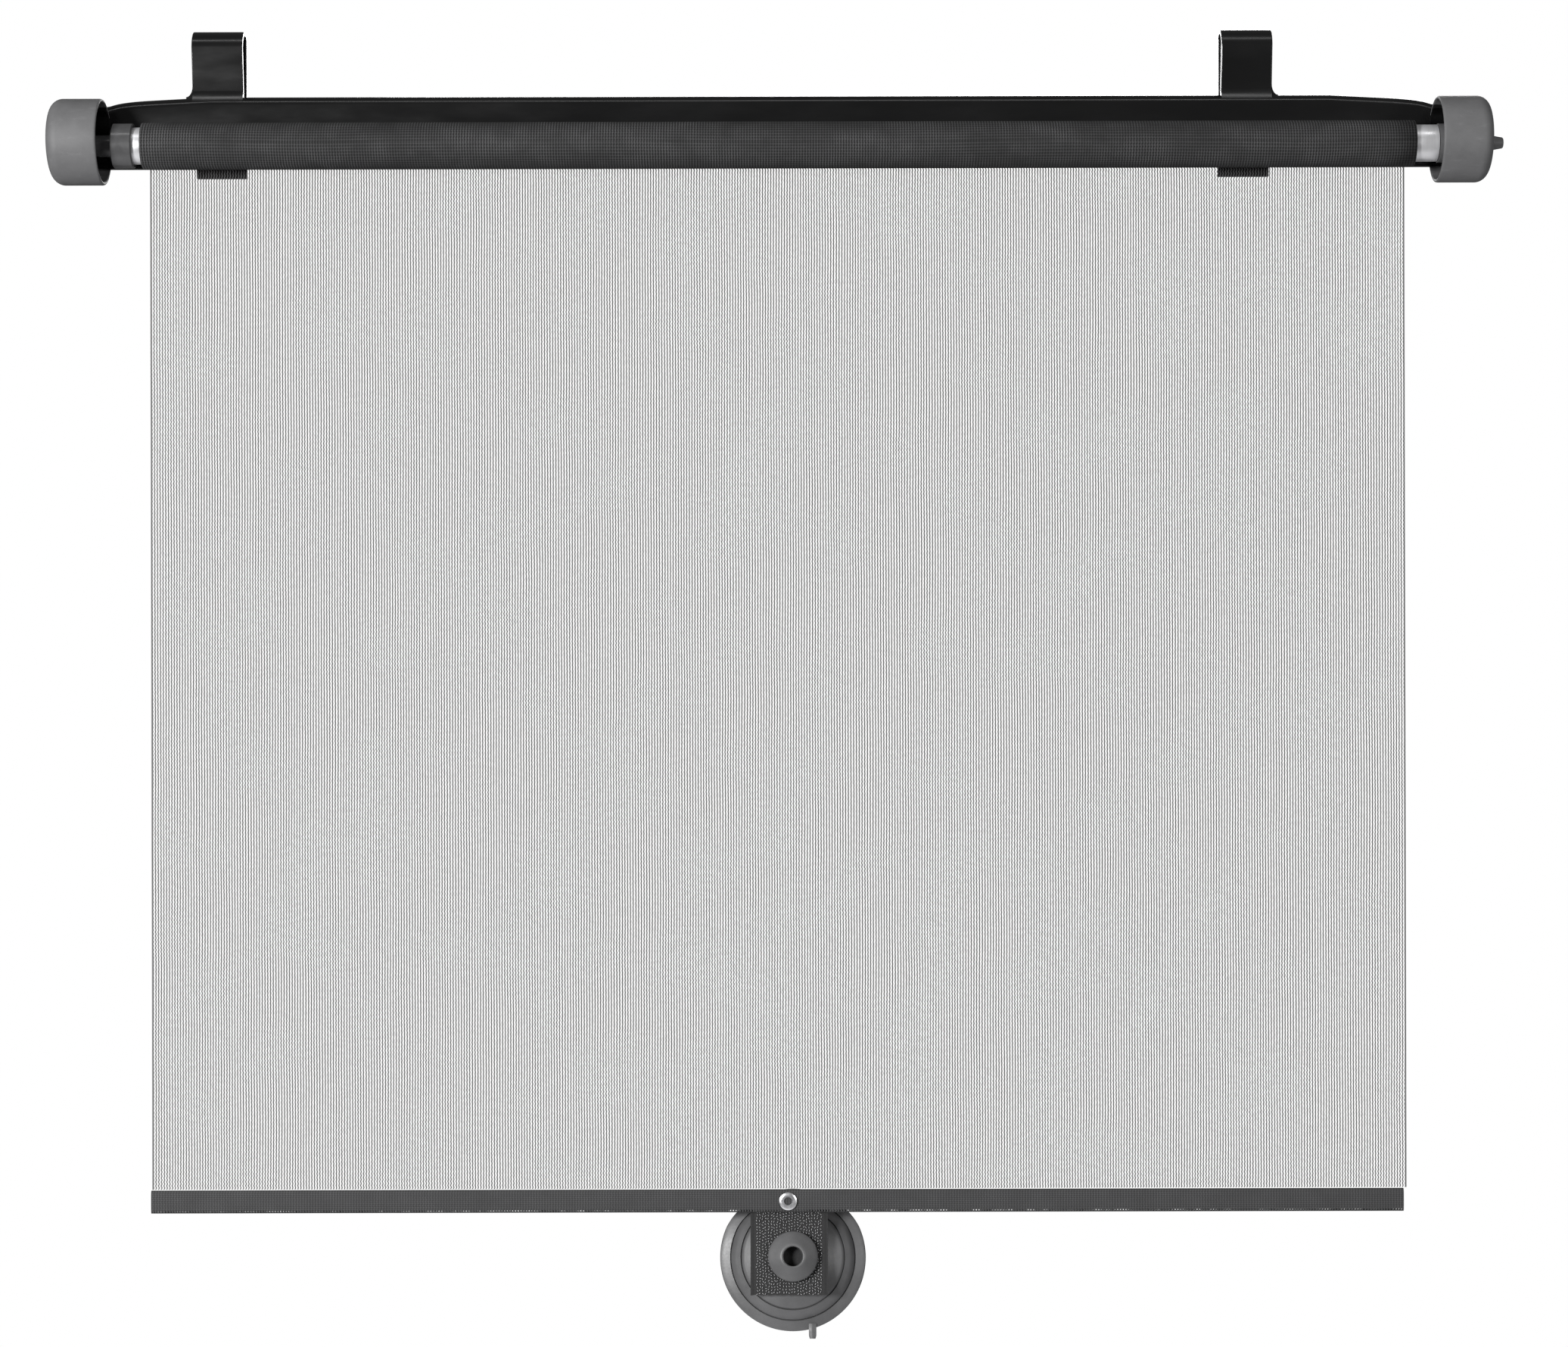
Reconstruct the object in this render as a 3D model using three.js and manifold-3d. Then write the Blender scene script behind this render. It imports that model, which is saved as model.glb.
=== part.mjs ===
// Roller sunshade for a car side window: two hooks hang it on the top edge of the glass, a spring
// roller winds up a mesh sheet, and a suction cup on a strap holds the hem to the pane.
// X runs to the right, Y from the seat towards the glass and Z up. Lengths are in millimetres.
// Everything is built about the roller axis, then hung with the glass edge at the origin.
import * as THREE from 'three';
import { mergeGeometries, mergeVertices } from 'three/addons/utils/BufferGeometryUtils.js';
import Module from 'manifold-3d';

const wasm = await Module();
wasm.setup();

// Clearances shared by every fit
const SEAT_GAP = 0.3;
const RUN_GAP = 0.4;
const STOP_GAP = 0.6;

// Window glass that the shade hangs on
const GLASS_FACE_Y = 17.2;
const GLASS_THICKNESS = 4.5;

// Roller and cloth
const TUBE_R = 7.2;
const TUBE_WALL = 0.6;
const TUBE_LEFT_X = -256.0;
const TUBE_RIGHT_X = 261.7;
const ROLL_R = 9.25;
const ROLL_LEFT_X = -246.3;
const ROLL_RIGHT_X = 252.8;
const ROLL_TURNS = 5;
const ROLL_STAGGER = 0.35;
const SHEET_WIDTH = 496.2;
const SHEET_CENTRE_X = 2.8;
const SHEET_DROP = 411.4;
const SHEET_WALL = 0.25;
const RIDGE_HEIGHT = 0.2;
const RIDGE_PITCH = 4.36;
const SLOT_WIDTH = 1.1;
const SLOT_MARGIN = 6.0;

// Hem with its stiffening bar
const HEM_HEIGHT = 9.1;
const HEM_DEPTH = 2.6;
const HEM_CLOTH = 0.45;
const HEM_BAR_DEPTH = 1.1;
const HEM_BAR_HEIGHT = 6.8;
const HEM_BAR_INSET = 3.0;

// Eyelet, strap and suction cup
const EYELET_X = 6.2;
const EYELET_R = 3.5;
const EYELET_BORE_R = 1.6;
const EYELET_BARREL_R = 1.9;
const EYELET_FLANGE = 0.7;
const EYELET_ROLL_R = 2.5;
const EYELET_ROLL = 0.4;
const WASHER_R = 3.1;
const WASHER_THICKNESS = 0.5;
const STRAP_X = 6.6;
const STRAP_WIDTH = 30.6;
const STRAP_THICKNESS = 1.0;
const STRAP_LENGTH = 39.8;
const STRAP_TUCK = 6.8;
const STRAP_BEND_R = 12.0;
const CUP_X = 8.1;
const CUP_TILT_DEG = 11.0;
const CUP_BELOW_BEND = 14.8;
const CUP_R = 29.0;
const CUP_LIP = 1.0;
const CUP_LIP_FLAT = 1.2;
const CUP_BAND_R = 24.7;
const CUP_BAND_RISE = 2.2;
const CUP_RING_R = 20.5;
const CUP_RING_RISE = 5.0;
const CUP_GROOVE = 0.25;
const CUP_CROWN_R = 7.5;
const CUP_CROWN_RISE = 9.0;
const CUP_HOLLOW = 3.8;
const NECK_R = 4.5;
const NECK_LENGTH = 2.5;
const HEAD_R = 9.85;
const HEAD_DISH = 0.6;
const HEAD_RIM = 1.2;
const HEAD_RISE = 3.4;
const HEAD_HOLE_R = 3.8;
const HEAD_HOLE_LIP_R = 4.6;
const HEAD_HOLE_DEPTH = 8.3;
const HEAD_HOLE_TAPER = 0.3;
const PULL_TAB_WIDTH = 3.0;
const PULL_TAB_REACH = 3.9;
const PULL_TAB_OFFSET = 7.7;
const PULL_TAB_THICKNESS = 1.4;

// End caps, set a little above the roller axis
const CAP_WALL = 1.3;
const CAP_RISE = 1.5;
const CAP_MOUTH_X = 261.6;
const CAP_LENGTH = 21.4;
const CAP_DOME = 1.2;
const CAP_CORNER_R = 5.0;
const CAP_END_WALL = 2.4;

// Rail and hooks
const RAIL_WALL = 1.6;
const RAIL_FRONT_Y = 11.3;
const RAIL_TOP_Z = 21.5;
const RAIL_BOTTOM_Z = -7.6;
const RAIL_REAR_LEG = 16.0;
const RAIL_NOSE_R = 3.6;
const RAIL_EDGE_R = 0.8;
const RAIL_NECK_X = 231.0;
const RAIL_NECK_DROP = 4.2;
const RAIL_NECK_STEPS = 8;
const SPIGOT_WALL = 1.5;
const SPIGOT_START_X = 246.0;
const SPIGOT_DEPTH = 10.5;
const SPIGOT_FROM_DEG = -34;
const SPIGOT_TO_DEG = 52;
const HOOK_X = [-219.5, 189.0];
const HOOK_WIDTH = 19.8;
const HOOK_WALL = 1.8;
const HOOK_TOP_Z = 48.0;
const HOOK_FRONT_Y = 10.6;
const HOOK_FRONT_R = 5.0;
const HOOK_REAR_R = 2.6;
const HOOK_ROOT_Y = 15.1;
const HOOK_TAIL_Z = -10.2;
const HOOK_TAIL_KICK = 0.7;
const HOOK_TAIL_KICK_HEIGHT = 7.0;
const HOOK_FLARE_R = 4.6;
const HOOK_FILLET = 4.2;

// Left end: rod, idle plug and winding spring
const ROD_R = 2.0;
const ROD_END_X = -150.0;
const LEFT_BOSS_R = 5.5;
const LEFT_BOSS_LENGTH = 11.6;
const COLLAR_R = 8.75;
const COLLAR_LENGTH = 8.2;
const COLLAR_FLOOR = 1.4;
const PLUG_SPIGOT_LENGTH = 17.0;
const PLUG_NECK_R = 4.2;
const SPRING_WIRE_R = 0.45;
const SPRING_COIL_R = 3.9;
const SPRING_TURNS = 16;
const ANCHOR_LENGTH = 8.0;

// Right end: drive plug, ratchet clutch and release button
const DRIVE_FLANGE = 2.4;
const DRIVE_FLANGE_R = 7.6;
const DRIVE_SPIGOT_LENGTH = 22.0;
const CLUTCH_SQUARE = 5.0;
const CLUTCH_SHAFT = 15.5;
const CLUTCH_R = 6.2;
const CLUTCH_DISC = 2.3;
const CLUTCH_HUB_R = 2.5;
const TOOTH_HEIGHT = 1.3;
const TOOTH_COUNT = 8;
const TOOTH_INNER_R = 3.0;
const BUTTON_TRAVEL = 2.5;
const BUTTON_STEM_R = 2.0;
const BUTTON_FLANGE_R = 4.6;
const BUTTON_FLANGE = 1.4;
const BUTTON_NUB_R = 2.9;
const BUTTON_NUB_TIP_R = 2.15;
const BUTTON_PROUD = 4.7;
const RIGHT_BOSS_WALL = 1.6;
const RETURN_SPRING_R = 1.9;
const RETURN_WIRE_R = 0.3;
const RETURN_LENGTH = 7.0;
const RETURN_TURNS = 5;

// Facets
const TURN = 40;
const SMALL_TURN = 24;
const CAP_TURN = 48;
const CUP_TURN = 64;
const COIL_TURN = 12;
const WIRE_SIDES = 6;

// Places that follow from the sizes above
const SHEET_FRONT_Y = ROLL_R + SEAT_GAP;
const SHEET_BACK_Y = SHEET_FRONT_Y + RIDGE_HEIGHT + SHEET_WALL;
const HEM_Y = (SHEET_FRONT_Y + SHEET_BACK_Y) / 2;
const HEM_TOP_Z = -SHEET_DROP - SEAT_GAP;
const HEM_MID_Z = HEM_TOP_Z - HEM_HEIGHT / 2;
const HEM_BOTTOM_Z = HEM_TOP_Z - HEM_HEIGHT;
const HEM_FRONT_Y = HEM_Y - HEM_DEPTH / 2;
const HEM_BACK_Y = HEM_Y + HEM_DEPTH / 2;
const STRAP_UPPER_Y = HEM_BACK_Y + SEAT_GAP;
const STRAP_MID_Y = STRAP_UPPER_Y + STRAP_THICKNESS / 2;
const STRAP_BEND_Z = HEM_BOTTOM_Z - STOP_GAP;
const CUP_TILT = THREE.MathUtils.degToRad(CUP_TILT_DEG);
const NECK_U = CUP_CROWN_RISE + NECK_LENGTH / 2;
const CAP_R = GLASS_FACE_Y;
const CAP_INNER_R = CAP_R - CAP_WALL;
const CAP_END_X = CAP_MOUTH_X + CAP_LENGTH;
const CAP_FLOOR_X = CAP_END_X - CAP_END_WALL;
const TUBE_BORE_R = TUBE_R - TUBE_WALL;
const HOOK_SEAT_Z = HOOK_TOP_Z - HOOK_WALL;
const HOOK_REAR_Y = GLASS_FACE_Y + GLASS_THICKNESS + HOOK_WALL;

const MM_TO_ORIGIN = new THREE.Vector3(0, -(GLASS_FACE_Y + GLASS_THICKNESS / 2), -HOOK_SEAT_Z);

const FINISH = {
  glossBlack: { color: 0x131315, roughness: 0.2, metalness: 0 },
  capGrey: { color: 0x4b4b4d, roughness: 0.62, metalness: 0 },
  collarBlack: { color: 0x2c2c2e, roughness: 0.25, metalness: 0 },
  brightSteel: { color: 0xc9c9cb, roughness: 0.22, metalness: 1 },
  springSteel: { color: 0x8f9094, roughness: 0.35, metalness: 1 },
  innerPlastic: { color: 0x5b5c5f, roughness: 0.5, metalness: 0 },
  blackMesh: { color: 0x2a2a2c, roughness: 0.85, metalness: 0 },
  greyMesh: { color: 0x6f6f72, roughness: 0.85, metalness: 0 },
  pileTape: { color: 0x232325, roughness: 0.95, metalness: 0 },
  cupVinyl: { color: 0x505154, roughness: 0.35, metalness: 0 },
  eyeletSteel: { color: 0xc4c5c8, roughness: 0.2, metalness: 1 },
};

// Shared vertices, no empty triangles, faces turned outwards
function closed(geometry) {
  const bare = geometry.clone();
  for (const name of Object.keys(bare.attributes)) {
    if (name !== 'position') bare.deleteAttribute(name);
  }
  bare.clearGroups();
  const welded = mergeVertices(bare, 1e-4);
  const index = welded.index.array;
  const kept = [];
  for (let i = 0; i < index.length; i += 3) {
    const [a, b, c] = [index[i], index[i + 1], index[i + 2]];
    if (a !== b && b !== c && c !== a) kept.push(a, b, c);
  }
  const p = welded.attributes.position;
  const [u, v, w] = [new THREE.Vector3(), new THREE.Vector3(), new THREE.Vector3()];
  let volume = 0;
  for (let i = 0; i < kept.length; i += 3) {
    u.fromBufferAttribute(p, kept[i]);
    v.fromBufferAttribute(p, kept[i + 1]);
    w.fromBufferAttribute(p, kept[i + 2]);
    volume += u.dot(v.cross(w)) / 6;
  }
  if (volume < 0) kept.reverse();
  welded.setIndex(kept);
  return welded;
}

function toSolid(geometry) {
  const shape = closed(geometry);
  const vertProperties = new Float32Array(shape.attributes.position.array);
  const triVerts = new Uint32Array(shape.index.array);
  return new wasm.Manifold(new wasm.Mesh({ numProp: 3, vertProperties, triVerts }));
}

function toGeometry(solid) {
  const mesh = solid.getMesh();
  const geometry = new THREE.BufferGeometry();
  geometry.setAttribute('position', new THREE.BufferAttribute(new Float32Array(mesh.vertProperties), 3));
  geometry.setIndex(Array.from(mesh.triVerts));
  return geometry;
}

function join(...geometries) {
  return toGeometry(geometries.map(toSolid).reduce((whole, next) => whole.add(next)));
}

function cut(geometry, ...tools) {
  return toGeometry(tools.map(toSolid).reduce((whole, next) => whole.subtract(next), toSolid(geometry)));
}

// Points of an arc, angles in degrees, first and last point included
function arc(cx, cy, radius, from, to, steps) {
  const points = [];
  for (let i = 0; i <= steps; i++) {
    const angle = THREE.MathUtils.degToRad(from + ((to - from) * i) / steps);
    points.push([cx + radius * Math.cos(angle), cy + radius * Math.sin(angle)]);
  }
  return points;
}

function outline(points) {
  return new THREE.Shape(points.map(([a, b]) => new THREE.Vector2(a, b)));
}

// A profile in Y and Z, drawn out along X
function drawnAlongX(shape, fromX, toX) {
  const geometry = new THREE.ExtrudeGeometry(shape, { depth: toX - fromX, bevelEnabled: false });
  const axes = new THREE.Matrix4().makeBasis(
    new THREE.Vector3(0, 1, 0),
    new THREE.Vector3(0, 0, 1),
    new THREE.Vector3(1, 0, 0),
  );
  return geometry.applyMatrix4(axes).translate(fromX, 0, 0);
}

// A profile in X and Z, drawn out along Y
function drawnAlongY(shape, fromY, toY) {
  const geometry = new THREE.ExtrudeGeometry(shape, { depth: toY - fromY, bevelEnabled: false });
  return geometry.rotateX(Math.PI / 2).translate(0, toY, 0);
}

// A profile of [x, radius] pairs turned about the X axis
function turnedAboutX(profile, segments = TURN) {
  const points = profile.map(([x, r]) => new THREE.Vector2(r, x));
  return new THREE.LatheGeometry(points, segments).rotateZ(-Math.PI / 2);
}

// A profile of [y, radius] pairs turned about the Y axis
function turnedAboutY(profile, segments = SMALL_TURN) {
  const points = profile.map(([y, r]) => new THREE.Vector2(r, y));
  return new THREE.LatheGeometry(points, segments);
}

function ringAboutX(fromX, toX, inner, outer, segments = TURN) {
  return turnedAboutX([[fromX, inner], [fromX, outer], [toX, outer], [toX, inner], [fromX, inner]], segments);
}

function rodAboutX(fromX, toX, radius, segments = TURN) {
  return turnedAboutX([[fromX, 0], [fromX, radius], [toX, radius], [toX, 0]], segments);
}

function rodAboutY(fromY, toY, radius, segments = SMALL_TURN) {
  return turnedAboutY([[fromY, 0], [fromY, radius], [toY, radius], [toY, 0]], segments);
}

// Walls between like outlines at rising X, closed by a face at each end
function lofted(stations) {
  const count = stations[0].points.length;
  const ring = (points) => points.map(([y, z]) => new THREE.Vector2(y, z));
  if (THREE.ShapeUtils.isClockWise(ring(stations[0].points))) stations.forEach(({ points }) => points.reverse());
  const positions = stations.flatMap(({ x, points }) => points.flatMap(([y, z]) => [x, y, z]));
  const index = [];
  for (let s = 0; s + 1 < stations.length; s++) {
    for (let i = 0; i < count; i++) {
      const a = s * count + i;
      const b = s * count + ((i + 1) % count);
      index.push(a, b, a + count, b, b + count, a + count);
    }
  }
  const last = (stations.length - 1) * count;
  for (const [a, b, c] of THREE.ShapeUtils.triangulateShape(ring(stations[0].points), [])) index.push(a, c, b);
  for (const [a, b, c] of THREE.ShapeUtils.triangulateShape(ring(stations.at(-1).points), [])) {
    index.push(last + a, last + b, last + c);
  }
  const geometry = new THREE.BufferGeometry();
  geometry.setAttribute('position', new THREE.Float32BufferAttribute(positions, 3));
  geometry.setIndex(index);
  return geometry;
}

class Helix extends THREE.Curve {
  constructor(fromX, toX, radius, turns) {
    super();
    Object.assign(this, { fromX, toX, radius, turns });
  }

  getPoint(t, target = new THREE.Vector3()) {
    const angle = 2 * Math.PI * this.turns * t;
    const x = THREE.MathUtils.lerp(this.fromX, this.toX, t);
    return target.set(x, this.radius * Math.cos(angle), this.radius * Math.sin(angle));
  }
}

function coil(fromX, toX, radius, wireR, turns) {
  const wire = outline(arc(0, 0, wireR, 0, 360 - 360 / WIRE_SIDES, WIRE_SIDES - 1));
  const path = new Helix(fromX + wireR, toX - wireR, radius, turns);
  return new THREE.ExtrudeGeometry(wire, { steps: turns * COIL_TURN, bevelEnabled: false, extrudePath: path });
}

const shade = new THREE.Group();
const hung = new THREE.Group();
hung.position.copy(MM_TO_ORIGIN);
shade.add(hung);

function add(name, geometry, finish) {
  const mesh = new THREE.Mesh(closed(geometry), new THREE.MeshStandardMaterial(FINISH[finish]));
  mesh.name = name;
  hung.add(mesh);
  return mesh;
}

// Rail: a front wall behind the cloth, a rounded top, and a short wall that lies on the glass
function railSection(top, bottom) {
  const inner = GLASS_FACE_Y - RAIL_WALL;
  const noseY = RAIL_FRONT_Y + RAIL_NOSE_R;
  const half = RAIL_WALL / 2;
  return [
    ...arc(RAIL_FRONT_Y + half, bottom + half, half, 0, -180, 4),
    ...arc(noseY, top - RAIL_NOSE_R, RAIL_NOSE_R, 180, 90, 7),
    ...arc(GLASS_FACE_Y - RAIL_EDGE_R, top - RAIL_EDGE_R, RAIL_EDGE_R, 90, 0, 2),
    [GLASS_FACE_Y, top - RAIL_REAR_LEG],
    [inner, top - RAIL_REAR_LEG],
    [inner, top - RAIL_WALL],
    ...arc(noseY, top - RAIL_NOSE_R, RAIL_NOSE_R - RAIL_WALL, 90, 180, 4),
  ];
}

function railBody() {
  const endX = CAP_MOUTH_X - STOP_GAP;
  const stations = [];
  for (let i = 0; i <= RAIL_NECK_STEPS; i++) {
    const x = THREE.MathUtils.lerp(RAIL_NECK_X, endX, i / RAIL_NECK_STEPS);
    stations.unshift(-x);
    stations.push(x);
  }
  return lofted(stations.map((x) => {
    const drop = RAIL_NECK_DROP * ((Math.abs(x) - RAIL_NECK_X) / (endX - RAIL_NECK_X)) ** 2;
    return { x, points: railSection(RAIL_TOP_Z - drop, RAIL_BOTTOM_Z) };
  }));
}

// Half-round tongue that joins the rail to the inside of a cap
function railSpigot(side) {
  const outer = CAP_INNER_R - SEAT_GAP;
  const steps = 14;
  const section = outline([
    ...arc(0, CAP_RISE, outer, SPIGOT_FROM_DEG, SPIGOT_TO_DEG, steps),
    ...arc(0, CAP_RISE, outer - SPIGOT_WALL, SPIGOT_TO_DEG, SPIGOT_FROM_DEG, steps),
  ]);
  const from = side * SPIGOT_START_X;
  const to = side * (CAP_MOUTH_X + SPIGOT_DEPTH);
  return drawnAlongX(section, Math.min(from, to), Math.max(from, to));
}

// One hook in section: leaning front leg, rounded bend with a flat seat, long rear leg
function hookSection() {
  const half = HOOK_WALL / 2;
  const frontY = HOOK_FRONT_Y + half;
  const rearY = HOOK_REAR_Y - half;
  const frontArcY = frontY + HOOK_FRONT_R;
  const rearArcY = rearY - HOOK_REAR_R;
  const lineTop = HOOK_TOP_Z - half;
  const frontArcZ = lineTop - HOOK_FRONT_R;
  const rearArcZ = lineTop - HOOK_REAR_R;
  const rootZ = RAIL_TOP_Z - RAIL_NOSE_R;
  const tailTop = HOOK_TAIL_Z + HOOK_TAIL_KICK_HEIGHT;
  const side = (offset) => [
    [HOOK_ROOT_Y - offset, rootZ],
    ...arc(frontArcY, frontArcZ, HOOK_FRONT_R + offset, 180, 90, 8),
    ...arc(rearArcY, rearArcZ, HOOK_REAR_R + offset, 90, 0, 4),
    [rearY + offset, tailTop],
    [rearY + HOOK_TAIL_KICK + offset, HOOK_TAIL_Z],
  ];
  return outline([...side(half), ...side(-half).reverse()]);
}

// Concave fillet between the rail's nose and the front of a leg
function hookFillet() {
  const slope = (HOOK_ROOT_Y - HOOK_FRONT_Y) / (HOOK_TOP_Z - HOOK_FRONT_R - RAIL_TOP_Z);
  const legY = (z) => HOOK_ROOT_Y - HOOK_WALL / 2 - (z - RAIL_TOP_Z + RAIL_NOSE_R) * slope * 0.8;
  const noseY = RAIL_FRONT_Y + RAIL_NOSE_R;
  const noseZ = RAIL_TOP_Z - RAIL_NOSE_R;
  const low = arc(noseY, noseZ, RAIL_NOSE_R, 150, 150, 1)[0];
  const high = [legY(RAIL_TOP_Z + HOOK_FILLET), RAIL_TOP_Z + HOOK_FILLET];
  const deep = [legY(RAIL_TOP_Z), RAIL_TOP_Z - 0.2];
  const curve = new THREE.QuadraticBezierCurve(
    new THREE.Vector2(...low),
    new THREE.Vector2(...deep),
    new THREE.Vector2(...high),
  );
  const face = curve.getPoints(6).map((point) => [point.x, point.y]);
  return outline([...face, [high[0] + HOOK_WALL / 2, high[1]], [HOOK_ROOT_Y, noseZ], [low[0] + RAIL_WALL / 2, noseZ]]);
}

// Concave flare at the outer side of a leg, seen from the front
function hookFlare(x, side) {
  const edge = x + side * HOOK_WIDTH / 2;
  const baseZ = RAIL_TOP_Z - RAIL_WALL / 2;
  const centre = [edge + side * HOOK_FLARE_R, baseZ + HOOK_FLARE_R + RAIL_WALL / 2];
  const sweep = arc(centre[0], centre[1], HOOK_FLARE_R, side < 0 ? 0 : 180, side < 0 ? -90 : 270, 6);
  const shape = outline([...sweep, [centre[0], baseZ], [edge - side, baseZ], [edge - side, centre[1]]]);
  return drawnAlongY(shape, HOOK_ROOT_Y - HOOK_WALL, HOOK_ROOT_Y + HOOK_WALL / 2);
}

function carrierRail() {
  const pieces = [railBody(), railSpigot(-1), railSpigot(1)];
  for (const x of HOOK_X) {
    const [from, to] = [x - HOOK_WIDTH / 2, x + HOOK_WIDTH / 2];
    pieces.push(drawnAlongX(hookSection(), from, to));
    pieces.push(drawnAlongX(hookFillet(), from, to));
    pieces.push(hookFlare(x, Math.sign(x)));
  }
  return join(...pieces);
}

// End cap: a cup with a domed end and a boss on the roller axis
function capShell(side) {
  const corner = arc(CAP_END_X - CAP_DOME - CAP_CORNER_R, CAP_R - CAP_CORNER_R, CAP_CORNER_R, 90, 14, 6);
  const dome = [];
  const edge = corner.at(-1);
  for (let i = 1; i <= 4; i++) {
    const r = edge[1] * (1 - i / 4);
    dome.push([CAP_END_X - (CAP_END_X - edge[0]) * (r / edge[1]) ** 2, r]);
  }
  const innerCorner = CAP_CORNER_R - CAP_WALL;
  const profile = [
    [CAP_FLOOR_X, 0],
    ...arc(CAP_FLOOR_X - innerCorner, CAP_INNER_R - innerCorner, innerCorner, 0, 90, 4),
    [CAP_MOUTH_X, CAP_INNER_R],
    [CAP_MOUTH_X, CAP_R - CAP_WALL / 3],
    [CAP_MOUTH_X + CAP_WALL / 3, CAP_R],
    ...corner,
    ...dome,
  ];
  return turnedAboutX(profile.map(([x, r]) => [side * x, r]), CAP_TURN).translate(0, 0, CAP_RISE);
}

function endCapLeft() {
  const bossEnd = CAP_FLOOR_X + CAP_END_WALL / 2;
  const bore = rodAboutX(-CAP_FLOOR_X, -CAP_MOUTH_X, ROD_R + SEAT_GAP, SMALL_TURN);
  const boss = rodAboutX(-bossEnd, -CAP_FLOOR_X + LEFT_BOSS_LENGTH, LEFT_BOSS_R, SMALL_TURN);
  return cut(join(capShell(-1), boss), bore);
}

const CLUTCH_FACE_X = TUBE_RIGHT_X + SEAT_GAP + DRIVE_FLANGE + BUTTON_TRAVEL + SEAT_GAP;
const CLUTCH_TOP_X = CLUTCH_FACE_X + CLUTCH_DISC;
const CLUTCH_TIP_X = CLUTCH_TOP_X + TOOTH_HEIGHT;
const RING_TIP_X = CLUTCH_TIP_X + SEAT_GAP;
const RING_FACE_X = RING_TIP_X + TOOTH_HEIGHT;
const RING_FLANGE = 1.7;
const BUTTON_FLANGE_X = CAP_FLOOR_X - SEAT_GAP - BUTTON_FLANGE;
const RING_END_X = BUTTON_FLANGE_X - BUTTON_TRAVEL - SEAT_GAP;
const RIGHT_BOSS_BORE_R = BUTTON_FLANGE_R + RUN_GAP;
const RIGHT_BOSS_R = RIGHT_BOSS_BORE_R + RIGHT_BOSS_WALL;

function endCapRight() {
  const bossFrom = RING_FACE_X + RING_FLANGE + SEAT_GAP;
  const boss = rodAboutX(bossFrom, CAP_FLOOR_X + CAP_END_WALL / 2, RIGHT_BOSS_R, SMALL_TURN);
  const pocket = rodAboutX(bossFrom - 1, CAP_FLOOR_X, RIGHT_BOSS_BORE_R, SMALL_TURN);
  const hole = rodAboutX(CAP_FLOOR_X - 1, CAP_END_X + 1, BUTTON_NUB_R + SEAT_GAP, SMALL_TURN);
  return cut(join(capShell(1), boss), pocket, hole);
}

// Saw teeth round a face, standing towards the given side from faceX
function teeth(faceX, side, outer) {
  const wedges = [];
  const step = 360 / TOOTH_COUNT;
  for (let i = 0; i < TOOTH_COUNT; i++) {
    const sector = outline([
      ...arc(0, 0, outer, i * step, (i + 0.45) * step, 2),
      ...arc(0, 0, TOOTH_INNER_R, (i + 0.45) * step, i * step, 2),
    ]);
    const root = faceX - side * TOOTH_HEIGHT / 2;
    const tip = faceX + side * TOOTH_HEIGHT;
    wedges.push(drawnAlongX(sector, Math.min(root, tip), Math.max(root, tip)));
  }
  return wedges;
}

function ratchetRing() {
  const flange = rodAboutX(RING_FACE_X, RING_FACE_X + RING_FLANGE, CLUTCH_R, SMALL_TURN);
  const body = rodAboutX(RING_FACE_X, RING_END_X, RIGHT_BOSS_BORE_R - SEAT_GAP, SMALL_TURN);
  const bore = rodAboutX(RING_TIP_X - 1, RING_END_X + 1, BUTTON_STEM_R + RUN_GAP, SMALL_TURN);
  return cut(join(flange, body, ...teeth(RING_FACE_X, -1, CLUTCH_R)), bore);
}

function squareBar(fromX, toX, side) {
  return new THREE.BoxGeometry(toX - fromX, side, side).translate((fromX + toX) / 2, 0, 0);
}

function ratchetClutch() {
  const disc = rodAboutX(CLUTCH_FACE_X, CLUTCH_TOP_X, CLUTCH_R, SMALL_TURN);
  const hub = rodAboutX(CLUTCH_FACE_X, CLUTCH_TIP_X, CLUTCH_HUB_R, SMALL_TURN);
  const shaft = squareBar(CLUTCH_FACE_X - CLUTCH_SHAFT, CLUTCH_TOP_X, CLUTCH_SQUARE);
  return join(disc, hub, shaft, ...teeth(CLUTCH_TOP_X, 1, CLUTCH_R));
}

function drivePlug() {
  const flangeFrom = TUBE_RIGHT_X + SEAT_GAP;
  const flangeTo = flangeFrom + DRIVE_FLANGE;
  const spigot = rodAboutX(flangeTo - DRIVE_SPIGOT_LENGTH - DRIVE_FLANGE, flangeTo, TUBE_BORE_R - SEAT_GAP);
  const flange = rodAboutX(flangeFrom, flangeTo, DRIVE_FLANGE_R);
  const boreFrom = CLUTCH_FACE_X - CLUTCH_SHAFT - RETURN_LENGTH - BUTTON_TRAVEL - 2 * SEAT_GAP;
  return cut(join(spigot, flange), squareBar(boreFrom, flangeTo + 1, CLUTCH_SQUARE + 2 * SEAT_GAP));
}

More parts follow.
